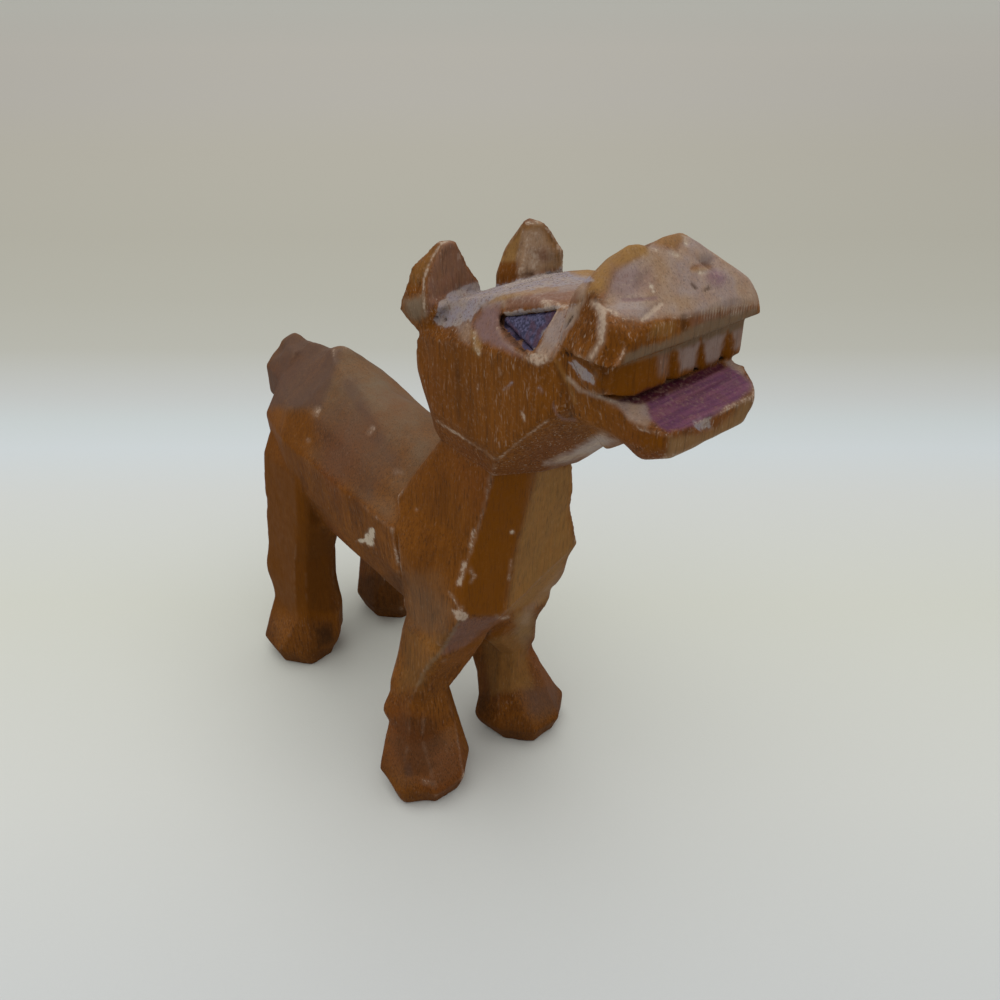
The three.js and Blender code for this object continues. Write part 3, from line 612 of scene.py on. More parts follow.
class Carving:
    """A worn blank as arrays in millimetres, with a value per corner for each finish."""

    def __init__(self, blank, voxel, edge_radius, knife, finish):
        remesh = blank.modifiers.new("voxels", "REMESH")
        remesh.mode = "VOXEL"
        remesh.voxel_size = voxel
        mesh = run_tree(blank, worn_work,
                        {**knife, "Softness": rounds_for(edge_radius, voxel), "Finish": finish})
        points = np.empty(len(mesh.vertices) * 3, np.float32)
        mesh.vertices.foreach_get("co", points)
        corners = np.empty(len(mesh.loops), np.int32)
        mesh.loops.foreach_get("vertex_index", corners)
        bpy.data.meshes.remove(mesh)
        self.voxel = voxel
        self.finish = finish
        self.points = points.reshape(-1, 3).astype(float)
        self.faces = corners.reshape(-1, 4)
        self.keep_outer_skin()
        self.marks = {name: np.zeros(len(self.points)) for name in [*MARK_TINTS, "tick"]}
        self.cut = np.zeros(len(self.points))
        self.find_normals()

    def find_edges(self):
        pairs = np.concatenate([self.faces[:, [i, (i + 1) % 4]] for i in range(4)])
        return np.unique(np.sort(pairs, axis=1), axis=0)

    def keep_outer_skin(self):
        """Drops the walls of the peg holes, which are shells of their own inside the wood."""
        edges = self.find_edges()
        label = np.arange(len(self.points))
        while True:
            low = np.minimum(label[edges[:, 0]], label[edges[:, 1]])
            before = label.copy()
            np.minimum.at(label, edges[:, 0], low)
            np.minimum.at(label, edges[:, 1], low)
            label = label[label]
            if (label == before).all():
                break
        outer = label == np.bincount(label).argmax()
        renumber = np.cumsum(outer) - 1
        self.faces = renumber[self.faces[outer[self.faces[:, 0]]]]
        self.points = self.points[outer]
        self.edges = self.find_edges()

    def find_normals(self):
        a, b, c, d = (self.points[self.faces[:, i]] for i in range(4))
        across = np.cross(c - a, d - b)
        total = np.stack([sum(np.bincount(self.faces[:, i], across[:, axis], len(self.points))
                              for i in range(4)) for axis in range(3)], axis=1)
        self.normals = total / np.linalg.norm(total, axis=1, keepdims=True)

    def averaged(self, values, reach):
        """Values per corner, averaged over the surface about that far."""
        one, two = self.edges.T
        size = len(values)
        count = np.bincount(one, minlength=size) + np.bincount(two, minlength=size)
        for _ in range(rounds_for(reach, self.voxel)):
            values = np.stack([np.bincount(one, column[two], size) + np.bincount(two, column[one], size)
                               for column in values.T], axis=1) / count[:, None]
        return values

    def facing_up(self, low, high):
        """How much the wood faces up, small ledges left out."""
        return smooth_step(low, high, self.averaged(self.normals, LEDGE)[:, 2])

    def find_pixels(self):
        """Each corner's place in the photograph in pixels, and whether the camera sees it."""
        away = self.points - np.array(CAMERA_PLACE)
        local = away @ np.array(camera_turn.to_matrix())
        spread = local[:, :2] / -local[:, 2:] * (LENS / SENSOR * PHOTO_SIZE)
        self.pixels = PHOTO_SIZE / 2 + spread * (1, -1)
        reach = np.linalg.norm(away, axis=1)
        self.seen = -(away * self.normals).sum(axis=1) / reach > FACING
        tree = BVHTree.FromPolygons(self.points.tolist(), self.faces.tolist())
        for corner in np.flatnonzero(self.seen):
            hit = tree.ray_cast(CAMERA_PLACE, Vector(away[corner]))[3]
            self.seen[corner] = hit is None or hit > reach[corner] - HIDDEN_BY

    def mark(self, finish, share):
        """Adds a finish where it isn't as strong yet."""
        self.marks[finish] = np.maximum(self.marks[finish], np.clip(share, 0, 1))


# %% Wear both blanks
KNIFE = {"Hollow Depth": 0.45, "Hollow Size": 9.0, "Ripple Depth": 0.16, "Ripple Size": 2.6}
BODY_VOXEL = 0.32
HEAD_VOXEL = 0.235
BODY_EDGE = 0.3
HEAD_EDGE = 0.35
JOINT_BAND = 2.4
JOINT_CORE = 0.3

body = Carving(body_blank, BODY_VOXEL, BODY_EDGE, KNIFE, wood)
head = Carving(head_blank, HEAD_VOXEL, HEAD_EDGE, KNIFE, wood)
leg_joint = smooth_step(JOINT_BAND, JOINT_CORE * JOINT_BAND, np.abs(body.points[:, 2] - belly))
body.points += leg_joint[:, None] * (body.averaged(body.points, JOINT_BAND / 2) - body.points)
for title, carving in [("body", body), ("head", head)]:
    print(title, "corners", len(carving.points), "faces", len(carving.faces),
          "box", carving.points.min(0).round(2), carving.points.max(0).round(2))

# %% [markdown]
# ## Knobs and hollows
# The solids are simple, and the knife was not: the photograph shows a knob at the right front fetlock, a
# dip in front of the tail and other small swellings that belong to no flat. Each row gives the middle and
# the reach of one, how far it pushes the wood, all in millimetres, and the sides it is on. A middle and
# a push are written as for the left side, and turned over for the right one.

# %% Push the wood out and in
HEAD_GROWTH = 0.08
ON_RIGHT, ON_LEFT, BOTH = (-1,), (1,), (-1, 1)
BODY_SWELLINGS = {
    "front_fetlock": ((3.2, 14.6, 15.2), 4.0, (-0.35, 1.15, 0), ON_RIGHT),
    "front_pastern": ((3.8, 15.3, 11.4), 2.4, (0, -0.35, 0), ON_RIGHT),
    "front_hoof_rim": ((10.1, 17.5, 1.5), 5.0, (0.7, 0.7, 0), BOTH),
    "left_hoof_inside": ((6.1, 4.0, 3.0), 5.5, (-0.2, -1.4, 0), ON_LEFT),
    "left_hoof_toe": ((13.1, 8.0, 1.0), 4.5, (0.6, 0, 0), ON_LEFT),
    "left_hoof_outside": ((11.8, 16.5, -0.5), 4.2, (0.4, 0.5, 0), ON_LEFT),
    "left_knee_outside": ((9.8, 12.3, 16.9), 4.8, (-1.1, -1.4, 0), ON_LEFT),
    "left_knee_inside": ((2.8, 5.0, 16.6), 5.0, (-0.75, -0.95, 0), ON_LEFT),
    "hind_hoof_rim": ((-31.4, 14.0, 1.5), 5.5, (0.8, 0.2, 0), BOTH),
    "hind_hoof_inside": ((-30.9, 9.0, 6.0), 5.0, (0.6, -0.7, 0), BOTH),
    "hind_leg_outside": ((-40.7, 14.9, 20.0), 6.0, (-0.4, 0.5, 0), ON_RIGHT),
    "hind_knee_inside": ((-32.9, 9.0, 29.0), 6.0, (-0.6, 0.7, 0), BOTH),
    "breast": ((15.8, 11.4, 38.2), 9.0, (0.5, 1.2, -0.1), BOTH),
    "neck_left": ((21.3, 9.0, 61.0), 6.0, (0.3, 0.35, 0), ON_LEFT),
    "back": ((-18.5, 4.5, 63.5), 10.0, (0, 0, -1.1), ON_LEFT),
    "croup": ((-29.9, 1.0, 67.0), 4.5, (0, 0, 0.8), ON_LEFT),
    "tail_dip": ((-36.4, 0, 66.0), 4.0, (0, 0, -0.7), ON_LEFT),
    "tail_top": ((-44.5, 1.5, 63.0), 4.0, (0, 0, 0.6), ON_LEFT),
    "tail_tip": ((-49.0, 1.6, 63.0), 4.0, (-0.2, 0.2, 1.6), ON_LEFT),
    "tail_corner": ((-49.7, 2.4, 62.0), 2.8, (0.2, -0.3, -0.5), ON_RIGHT),
}
HEAD_SWELLINGS = {
    "nose_side": ((47.1, 10.4, 98.6), 3.2, (0.15, 0.5, 0), ON_LEFT),
    "jaw_tip": ((50.1, 7.5, 90.0), 3.2, (0.25, 0.4, 0), ON_LEFT),
    "left_ear_edge": ((16.8, 8.9, 96.5), 4.0, (0.35, 0.55, 0), ON_LEFT),
    "right_ear_edge": ((15.4, 3.5, 94.0), 3.5, (0.2, -0.3, 0), ON_RIGHT),
    "right_ear_side": ((8.5, 10.0, 91.0), 3.5, (-0.2, 0.4, 0), ON_RIGHT),
    "nape": ((10.6, 9.7, 85.0), 4.5, (0.4, -0.5, 0), ON_RIGHT),
    "left_ear_top": ((15.8, 7.8, 98.6), 2.6, (0.2, 0.3, 0), ON_LEFT),
    "jaw_below": ((42.6, 5.0, 83.8), 5.0, (0, 0, 1.0), ON_RIGHT),
}

for carving, swellings in [(body, BODY_SWELLINGS), (head, HEAD_SWELLINGS)]:
    for middle, reach, push, sides in swellings.values():
        for side in sides:
            gap = np.linalg.norm(carving.points - np.multiply(middle, (1, side, 1)), axis=1)
            carving.points += smooth_step(reach, 0, gap)[:, None] * np.multiply(push, (1, side, 1))
    carving.find_normals()
head.points += HEAD_GROWTH * head.normals
print("swellings:", len(BODY_SWELLINGS), "on the body,", len(HEAD_SWELLINGS), "on the head")

# %% [markdown]
# ## Worn edges, darker cuts, dust and sheen
# Hands rub the stain off the edges that stand out, and the cuts are painted darker. Both can be measured: a
# corner that stands above the average of its surroundings is on an edge, one below it is in a cut. What
# faces up is painted paler, as dust and as the sheen of the light from above, and the hooves are painted
# darker towards the ground.

# %% Edge wear, darker cuts, dust and sheen
EDGE_REACH = 0.6
RUB_SIZE, RUB_BREAK = 7.0, 1.5
HOOF_TOP, HOOF_DARK = 10, 2

for carving in (body, head):
    proud = ((carving.points - carving.averaged(carving.points, EDGE_REACH)) * carving.normals).sum(axis=1)
    breaks = wobble(carving.points, RUB_BREAK, 1) * 0.5
    broken = smooth_step(-0.1, 0.7, breaks + wobble(carving.points, RUB_SIZE, 2))
    carving.mark("worn", smooth_step(0.04, 0.14, proud) * broken * 0.5)
    # Corners in a cut are painted darker.
    carving.mark("grime", smooth_step(0.06, 0.22, -proud) * 0.6)
    print("stands proud by", np.percentile(proud, [1, 50, 95, 99]).round(3))
# Painted sheen: what faces up on the body is painted paler and greyer, as dust and as the sheen of the light
# from above.
body.mark("dust", body.facing_up(0.25, 0.9) * (0.66 + 0.2 * wobble(body.points, 6.0, 3)))
# The hooves are painted darker towards the ground.
darker_towards_ground = smooth_step(HOOF_TOP, HOOF_DARK, body.points[:, 2])
body.mark("dark", darker_towards_ground * (0.34 + 0.2 * wobble(body.points, 4.0, 4)))
# Painted sheen: what faces up on the head is painted with pale bloom, as wax bloom and as the sheen of the
# light from above.
head.mark("bloom", head.facing_up(0.3, 1.0) * (0.32 + 0.12 * wobble(head.points, 5.0, 5)))

# %% [markdown]
# ## Marks from the photograph
# Each mark is a line or an outline of pixels in the photograph. A corner of the mesh takes the mark when
# the camera sees it there, so the mark lies on the wood itself and stays in place from any side. A mark
# has a finish, its share, the softness of its border in pixels and how deep it is cut in millimetres,
# less than nothing where it stands proud. It wipes off the grime and painted shade below it. Some marks
# are painted light: pale ones for highlights and sheen, dark ones for shade in hollows and under things.
# The side that the photograph hides takes the marks of the side it shows.

# %% Marks on the crown and ears
CROWN_AND_EAR_PATCHES = {
    "crown_filler": ("crust", 0.95, 2.5, 0, [
        (434, 320), (439, 302), (452, 291), (463, 285), (480, 281), (492, 284), (500, 284), (516, 280),
        (530, 276), (546, 272), (563, 268), (572, 275), (592, 278), (596, 282), (573, 285), (546, 287),
        (516, 292), (492, 299), (480, 308), (471, 320), (462, 325), (446, 328), (437, 326)]),
    # The bloom patches on the crown and the left ear are pale wax bloom and painted sheen of the light.
    "crown_bloom_and_sheen": ("bloom", 0.8, 5, 0, [
        (474, 300), (515, 284), (562, 270), (592, 270), (584, 300), (520, 304), (482, 310)]),
    "crown_gold": ("honey", 0.8, 3, 0, [(568, 270), (580, 262), (594, 264), (594, 276), (582, 277)]),
    "crown_tongue": ("bloom", 0.55, 4, 0, [(457, 324), (470, 320), (472, 334), (468, 344), (460, 340)]),
    "right_ear_inside": ("pink", 0.4, 4, 0, [
        (441, 243), (453, 240), (478, 284), (470, 289), (445, 296), (428, 312), (427, 285), (433, 262)]),
    "right_ear_glow": ("honey", 0.25, 6, 0, [
        (441, 243), (453, 240), (476, 282), (445, 292), (428, 305), (433, 262)]),
    "right_ear_outside": ("honey", 0.3, 4, 0, [
        (430, 250), (440, 246), (431, 262), (424, 280), (412, 285), (408, 275), (418, 262)]),
    "right_ear_foot": ("dust", 1.0, 6, 0, [(404, 300), (423, 296), (425, 316), (415, 322), (406, 314)]),
    "right_ear_foot_flakes": ("worn", 0.25, 5, 0, [(404, 300), (423, 296), (425, 314), (410, 318)]),
    "left_ear_outside": ("honey", 0.85, 4, 0, [(523, 226), (508, 246), (498, 262), (516, 262), (521, 240)]),
    "left_ear_foot": ("raw", 0.6, 3, 0, [(496, 264), (516, 262), (518, 284), (498, 290)]),
    "left_ear_front": ("honey", 0.5, 4, 0, [
        (524, 226), (541, 222), (557, 243), (566, 266), (540, 270), (520, 278), (517, 258)]),
    "left_ear_front_bloom_and_sheen": ("bloom", 0.8, 7, 0, [
        (524, 232), (540, 228), (554, 248), (560, 266), (540, 272), (522, 278), (519, 258)]),
}
CROWN_AND_EAR_LINES = {
    "crown_ridge": ("crust", 1.0, 4, -0.1, [(480, 293), (505, 288), (530, 282), (553, 274)]),
    "crown_rim": ("chip", 0.45, 3, 0, [(506, 287), (520, 282), (536, 278), (548, 275)]),
    "right_ear_ridge": ("worn", 0.75, 1.5, 0, [(442, 243), (431, 260), (424, 278), (423, 293), (425, 315)]),
    "right_ear_tip": ("chip", 0.6, 2.4, 0.1, [(441, 242), (450, 239)]),
    "left_ear_tip": ("chip", 0.5, 2.4, 0.1, [(528, 223), (541, 223)]),
    "left_ear_ridge": ("worn", 0.4, 1.4, 0, [(523, 230), (517, 258), (519, 280)]),
    "left_ear_spot": ("rust", 0.8, 5, 0, [(542, 252), (543, 258)]),
    "left_ear_flakes": ("worn", 0.6, 8, 0, [(536, 236), (532, 252), (534, 264)]),
    "right_ear_spot_low": ("rust", 0.9, 3.5, 0, [(447, 279), (440, 285)]),
    "right_ear_spot_high": ("rust", 0.8, 3, 0, [(452, 287), (455, 276)]),
    "bare_spot": ("raw", 1.0, 4, 0, [(432, 325)]),
    "bubble_one": ("grime", 1.0, 1.9, 0.4, [(437, 318)]),
    "bubble_two": ("grime", 0.9, 1.9, 0.35, [(444, 319)]),
    "bubble_three": ("grime", 1.0, 2.0, 0.4, [(480, 308)]),
    "bubble_four": ("grime", 0.8, 1.6, 0.3, [(458, 289)]),
    "bubble_five": ("rust", 0.8, 2.6, 0.3, [(469, 291)]),
}
print("marks on the crown and ears:", len(CROWN_AND_EAR_PATCHES) + len(CROWN_AND_EAR_LINES))

# %% Marks around the eye
EYE_PATCHES = {
    "cheek_of_eye": ("pink", 0.9, 5, 0, [
        (474, 324), (484, 308), (500, 303), (500, 318), (498, 326), (503, 337), (511, 345), (520, 356),
        (500, 348), (478, 338)]),
    "front_of_eye": ("bloom", 0.85, 3, 0, [
        (556, 312), (584, 300), (578, 316), (567, 331), (548, 360), (537, 350)]),
    "ink_spill": ("ink", 1.0, 1.2, 0, [
        (507, 318), (506, 323), (511, 330), (517, 335), (523, 339), (523, 346), (531, 351), (536, 349),
        (524, 337), (513, 325)]),
    "rear_wall": ("rust", 0.8, 1.5, 0.5, [
        (504, 317), (500, 324), (503, 333), (512, 343), (523, 350), (527, 346), (521, 336), (510, 326),
        (507, 317)]),
    "wall_shade": ("dark", 0.35, 2, 0, [
        (504, 317), (500, 324), (503, 333), (512, 343), (523, 350), (520, 338), (508, 326)]),
    "lid_band": ("rust", 0.8, 2.5, 0, [
        (507, 299), (528, 295), (552, 292), (578, 291), (577, 302), (552, 305), (528, 308), (506, 311)]),
    "lid": ("crust", 0.9, 1.2, 0, [
        (503, 312), (530, 309), (560, 305), (576, 303), (577, 305), (562, 308), (550, 311), (530, 314),
        (506, 318)]),
    "filler_under_eye": ("worn", 0.6, 3, -0.1, [
        (523, 357), (529, 352), (540, 352), (548, 358), (546, 364), (537, 367), (529, 363)]),
    "filler_drop": ("honey", 0.6, 2.5, 0, [
        (471, 331), (477, 330), (481, 338), (481, 352), (477, 357), (473, 350)]),
}
EYE_LINES = {
    "tan_line": ("honey", 0.8, 3, 0, [(490, 301), (506, 297), (530, 292), (556, 288)]),
    "lid_shadow": ("grime", 0.7, 1.0, 0.08, [(507, 309), (530, 306)]),
    "lid_light": ("worn", 0.3, 1.0, 0, [(510, 313), (540, 309), (574, 304)]),
    # pocket_rim paints the deep shade along the outer rim of the eye pocket, and lid_shadow the shade under
    # the lid.
    "pocket_rim": ("grime", 1.0, 2.2, 0.15, [(503, 316), (500, 324), (504, 334), (513, 344), (523, 350)]),
    "pale_rim": ("worn", 0.6, 1.6, 0, [(497, 328), (503, 341), (515, 351), (526, 358)]),
    "filler_drop_crumbs": ("chip", 0.75, 2.4, -0.06, [(475, 333), (475, 345), (479, 353)]),
    "filler_crack": ("grime", 0.8, 1.2, 0.1, [(526, 353), (530, 358)]),
    "filler_crack_front": ("grime", 0.8, 1.2, 0.1, [(536, 354), (541, 358)]),
    "crease": ("grime", 0.85, 1.6, 0.15, [(572, 317), (565, 328)]),
    "crease_edge": ("bloom", 0.6, 2, 0, [(578, 312), (562, 340), (551, 360)]),
}
print("marks around the eye:", len(EYE_PATCHES) + len(EYE_LINES))

# %% Marks on the cheek
CHEEK_PATCHES = {
    "cheek": ("raw", 0.4, 6, 0, [
        (418, 345), (470, 352), (520, 367), (556, 366), (560, 380), (548, 419), (497, 458), (437, 420),
        (416, 366)]),
    "throat": ("bloom", 1.0, 5, 0, [(602, 432), (618, 441), (590, 455), (555, 464), (545, 463), (575, 450)]),
    "throat_flakes": ("worn", 0.45, 6, 0, [(602, 434), (616, 441), (590, 453), (556, 462), (575, 452)]),
}
CHEEK_LINES = {
    "lower_edge": ("worn", 0.5, 1.4, 0, [(437, 421), (470, 442), (497, 460), (520, 441), (548, 420)]),
    "cheek_scratch": ("worn", 0.8, 1.4, 0.08, [(520, 411), (523, 416), (524, 421)]),
    "cheek_scratch_high": ("worn", 0.6, 1.6, 0.03, [(499, 368), (501, 374)]),
    "cheek_scratch_low": ("worn", 0.55, 1.3, 0.03, [(478, 384), (478, 389)]),
    "cheek_scratch_front": ("crust", 0.45, 2, 0, [(539, 388), (542, 392)]),
    "dull_scratch": ("crust", 0.6, 1.5, 0.05, [(503, 390), (513, 382)]),
    "dark_streak": ("dark", 0.4, 2, 0, [(458, 360), (459, 420)]),
    "cheek_groove": ("dark", 0.5, 1.6, 0.1, [(551, 359), (557, 370), (566, 388), (570, 404), (572, 418)]),
    "cheek_ridge": ("honey", 0.4, 2.5, 0, [(556, 361), (562, 372), (570, 388), (575, 402)]),
    "pink_crescent": ("pink", 0.7, 1.5, 0.05, [(553, 404), (556, 414), (563, 419), (575, 420)]),
}
print("marks on the cheek:", len(CHEEK_PATCHES) + len(CHEEK_LINES))

# %% Marks on the muzzle
MUZZLE_PATCHES = {
    # The bloom on the nose plane and the lilac patch is pale wax bloom and painted sheen of the light on the
    # nose.
    "nose_plane": ("bloom", 0.85, 5, 0, [
        (604, 300), (618, 268), (646, 252), (652, 243), (676, 250), (688, 230), (700, 236), (752, 272),
        (765, 303), (735, 307), (707, 312), (688, 316), (656, 317), (643, 320), (627, 319), (611, 312)]),
    "nose_rear": ("honey", 0.8, 5, 0, [
        (588, 292), (595, 270), (622, 238), (642, 234), (648, 254), (627, 264), (614, 273), (607, 292)]),
    "nose_crest": ("honey", 0.5, 5, 0, [(650, 244), (668, 229), (684, 229), (688, 240), (674, 247)]),
    "nose_middle": ("honey", 0.25, 6, 0, [(650, 254), (664, 252), (668, 284), (656, 286)]),
    "right_nostril": ("pink", 0.5, 8, 0, [(612, 267), (651, 267), (656, 284), (640, 295), (606, 295)]),
    "lilac_patch": ("bloom", 1.0, 4, 0, [
        (604, 303), (630, 300), (656, 298), (661, 303), (650, 312), (606, 312)]),
    "cream_patch": ("honey", 0.35, 6, 0, [(668, 297), (684, 294), (700, 299), (697, 310), (676, 312)]),
    "rubbed_corner": ("worn", 0.66, 2.5, 0.05, [
        (591, 301), (600, 303), (608, 311), (607, 325), (604, 342), (599, 349), (592, 360), (588, 358),
        (596, 344), (598, 328), (596, 314)]),
    "lip_side": ("raw", 0.25, 4, 0, [
        (606, 316), (627, 322), (650, 322), (646, 340), (628, 350), (612, 362), (604, 345)]),
    "lip_yellow": ("honey", 0.35, 4, 0, [(654, 321), (676, 323), (672, 337), (648, 338)]),
    "lip_front": ("rust", 0.6, 3, 0, [
        (688, 319), (707, 314), (756, 304), (757, 307), (721, 317), (692, 326)]),
    "lip_saw": ("tick", 0.9, 2, 0, [(700, 311), (756, 302), (757, 310), (730, 315), (702, 320)]),
    "lip_underside": ("dust", 0.85, 3, 0, [
        (626, 355), (642, 348), (667, 340), (690, 328), (707, 320), (734, 312), (758, 308), (758, 313),
        (745, 323), (742, 330), (715, 339), (690, 347), (650, 358), (619, 368)]),
}
MUZZLE_LINES = {
    "purple_streak": ("pink", 0.8, 2, 0.05, [(624, 300), (656, 298)]),
    "gouge": ("worn", 0.95, 3.0, 0.15, [(643, 320), (652, 312), (661, 305)]),
    # Painted light: left_nostril_above, left_nostril_cut and left_nostril_edge paint the hollow of the left
    # nostril paler and more orange than its shade, and wipe off the darkening in it.
    "left_nostril_above": ("bloom", 0.8, 5, 0, [(697, 258), (712, 259), (722, 266)]),
    "left_nostril_cut": ("raw", 0.7, 2.4, 0.05, [(692, 268), (700, 265), (709, 266)]),
    "left_nostril_edge": ("honey", 0.6, 2.5, 0, [(692, 270), (700, 269), (709, 268)]),
    "left_nostril_chip": ("chip", 0.6, 2.5, 0.1, [(700, 273), (706, 272)]),
    "left_nostril_red": ("paint", 0.65, 7, 0, [(713, 276), (719, 280)]),
    "left_nostril_scar": ("dark", 0.8, 1.8, 0.1, [(692, 284), (696, 288)]),
    "left_nostril_dot": ("dark", 0.8, 1.8, 0.1, [(705, 291), (709, 288)]),
    "crest_chip": ("chip", 0.8, 2.6, 0.25, [(684, 235), (687, 243)]),
    "crest_speck": ("chip", 0.5, 2.2, 0.05, [(650, 247), (657, 250)]),
    "crest_speck_left": ("chip", 0.6, 2.2, 0.05, [(670, 252), (678, 256)]),
    "nose_speck": ("chip", 0.5, 2.2, 0, [(651, 285), (653, 291)]),
    "lip_ridge": ("worn", 0.5, 1.7, 0, [
        (598, 306), (611, 311), (627, 319), (643, 320), (656, 317), (688, 317), (707, 313), (734, 307),
        (756, 304)]),
    "rubbed_corner_bloom_and_sheen": ("bloom", 0.6, 4, 0, [(594, 303), (604, 312), (601, 322), (602, 340), (591, 358)]),
    "rubbed_corner_low": ("worn", 0.6, 2.2, 0, [(624, 349), (618, 364)]),
    "lip_notch": ("dark", 0.55, 3, 0.15, [(684, 317), (684, 330)]),
}
print("marks on the muzzle:", len(MUZZLE_PATCHES) + len(MUZZLE_LINES))

# %% Marks in the mouth
JAW_FRONT = [(669, 438), (712, 432), (748, 400), (752, 408), (738, 434), (700, 452), (666, 460)]
MOUTH_PATCHES = {
    "tooth_band": ("raw", 0.9, 3, 0, [
        (619, 366), (640, 361), (658, 356), (664, 386), (640, 397), (616, 398), (606, 385)]),
    "first_tooth": ("tooth", 0.45, 4, 0, [(658, 356), (668, 353), (667, 374), (659, 377)]),
    "second_tooth": ("tooth", 1.0, 3, 0, [(678, 350), (699, 343), (695, 367), (681, 372)]),
    "third_tooth": ("tooth", 1.0, 3, 0, [(704, 341), (725, 334), (720, 358), (707, 363)]),
    "fourth_tooth": ("tooth", 0.75, 3, 0, [(732, 331), (745, 328), (745, 344), (735, 350)]),
    "first_gap": ("raw", 1.0, 1.5, 0, [(673, 348), (666, 379), (678, 378)]),
    "second_gap": ("raw", 1.0, 1.5, 0, [(701, 337), (694, 368), (704, 368)]),
    "third_gap": ("raw", 1.0, 1.5, 0, [(728, 328), (720, 362), (731, 358)]),
    "mouth_floor": ("paint", 0.97, 3, 0, [
        (646, 402), (700, 378), (728, 366), (744, 376), (750, 390), (727, 408), (694, 426), (668, 432),
        (652, 421)]),
    # under_teeth is dark plum paint with the shade under the tooth row painted into it.
    "under_teeth": ("plum", 1.0, 2, 0, [
        (618, 401), (640, 392), (680, 378), (723, 363), (727, 368), (700, 380), (660, 397), (640, 404)]),
    "bare_right_rim": ("bloom", 0.8, 3, 0, [
        (612, 402), (635, 396), (647, 404), (653, 420), (645, 428), (630, 420)]),
    "bare_left_rim": ("bloom", 0.75, 3, 0, [(724, 362), (733, 359), (747, 371), (743, 377), (731, 371)]),
    "jaw_side": ("raw", 0.5, 4, 0, [
        (575, 385), (600, 398), (617, 404), (630, 425), (640, 432), (634, 444), (610, 440), (590, 425)]),
    "jaw_front": ("dust", 0.45, 5, 0, JAW_FRONT),
    "jaw_front_glow": ("honey", 0.4, 5, 0, JAW_FRONT),
    "jaw_corner": ("raw", 0.9, 3, 0, [(633, 431), (664, 438), (664, 451), (645, 452)]),
    "jaw_chip": ("crust", 0.95, 2, 0.3, [(692, 420), (700, 416), (713, 417), (712, 428), (698, 431)]),
    "mouth_corner": ("raw", 0.7, 3, 0, [
        (566, 354), (580, 356), (600, 372), (612, 386), (598, 392), (572, 374)]),
    "corner_oval": ("crust", 1.0, 1.5, 0.08, [
        (568, 362), (575, 360), (587, 369), (596, 381), (594, 385), (584, 381), (572, 369)]),
}
MOUTH_LINES = {
    "paint_streak": ("plum", 0.6, 1.6, 0, [(650, 402), (680, 389), (708, 376)]),
    "paint_streak_low": ("plum", 0.35, 1.5, 0, [(664, 408), (700, 392), (730, 377)]),
    "jaw_chip_light": ("worn", 0.8, 4, 0, [(697, 423), (707, 420)]),
    "corner_shadow": ("dark", 0.5, 1.3, 0.05, [(574, 357), (590, 367), (600, 380)]),
    "corner_dot": ("grime", 1.0, 2.4, 0.2, [(566, 353), (570, 355)]),
    # rim_rear and rim_gloss are painted highlights along the rim of the jaw.
    "rim_rear": ("bloom", 0.9, 2.2, 0, [(568, 378), (580, 390), (593, 395), (606, 399), (618, 404)]),
    "rim_gloss": ("chip", 0.6, 2, 0, [(600, 396), (608, 399), (616, 402)]),
    "rim_front": ("worn", 0.5, 1.7, 0, [(619, 404), (626, 416), (640, 429), (669, 436)]),
    "pink_rim": ("paint", 0.9, 5, 0, [(742, 380), (746, 386)]),
    "pink_rim_light": ("pink", 0.85, 6, 0, [(722, 384), (740, 379), (746, 386)]),
}
print("marks in the mouth:", len(MOUTH_PATCHES) + len(MOUTH_LINES))

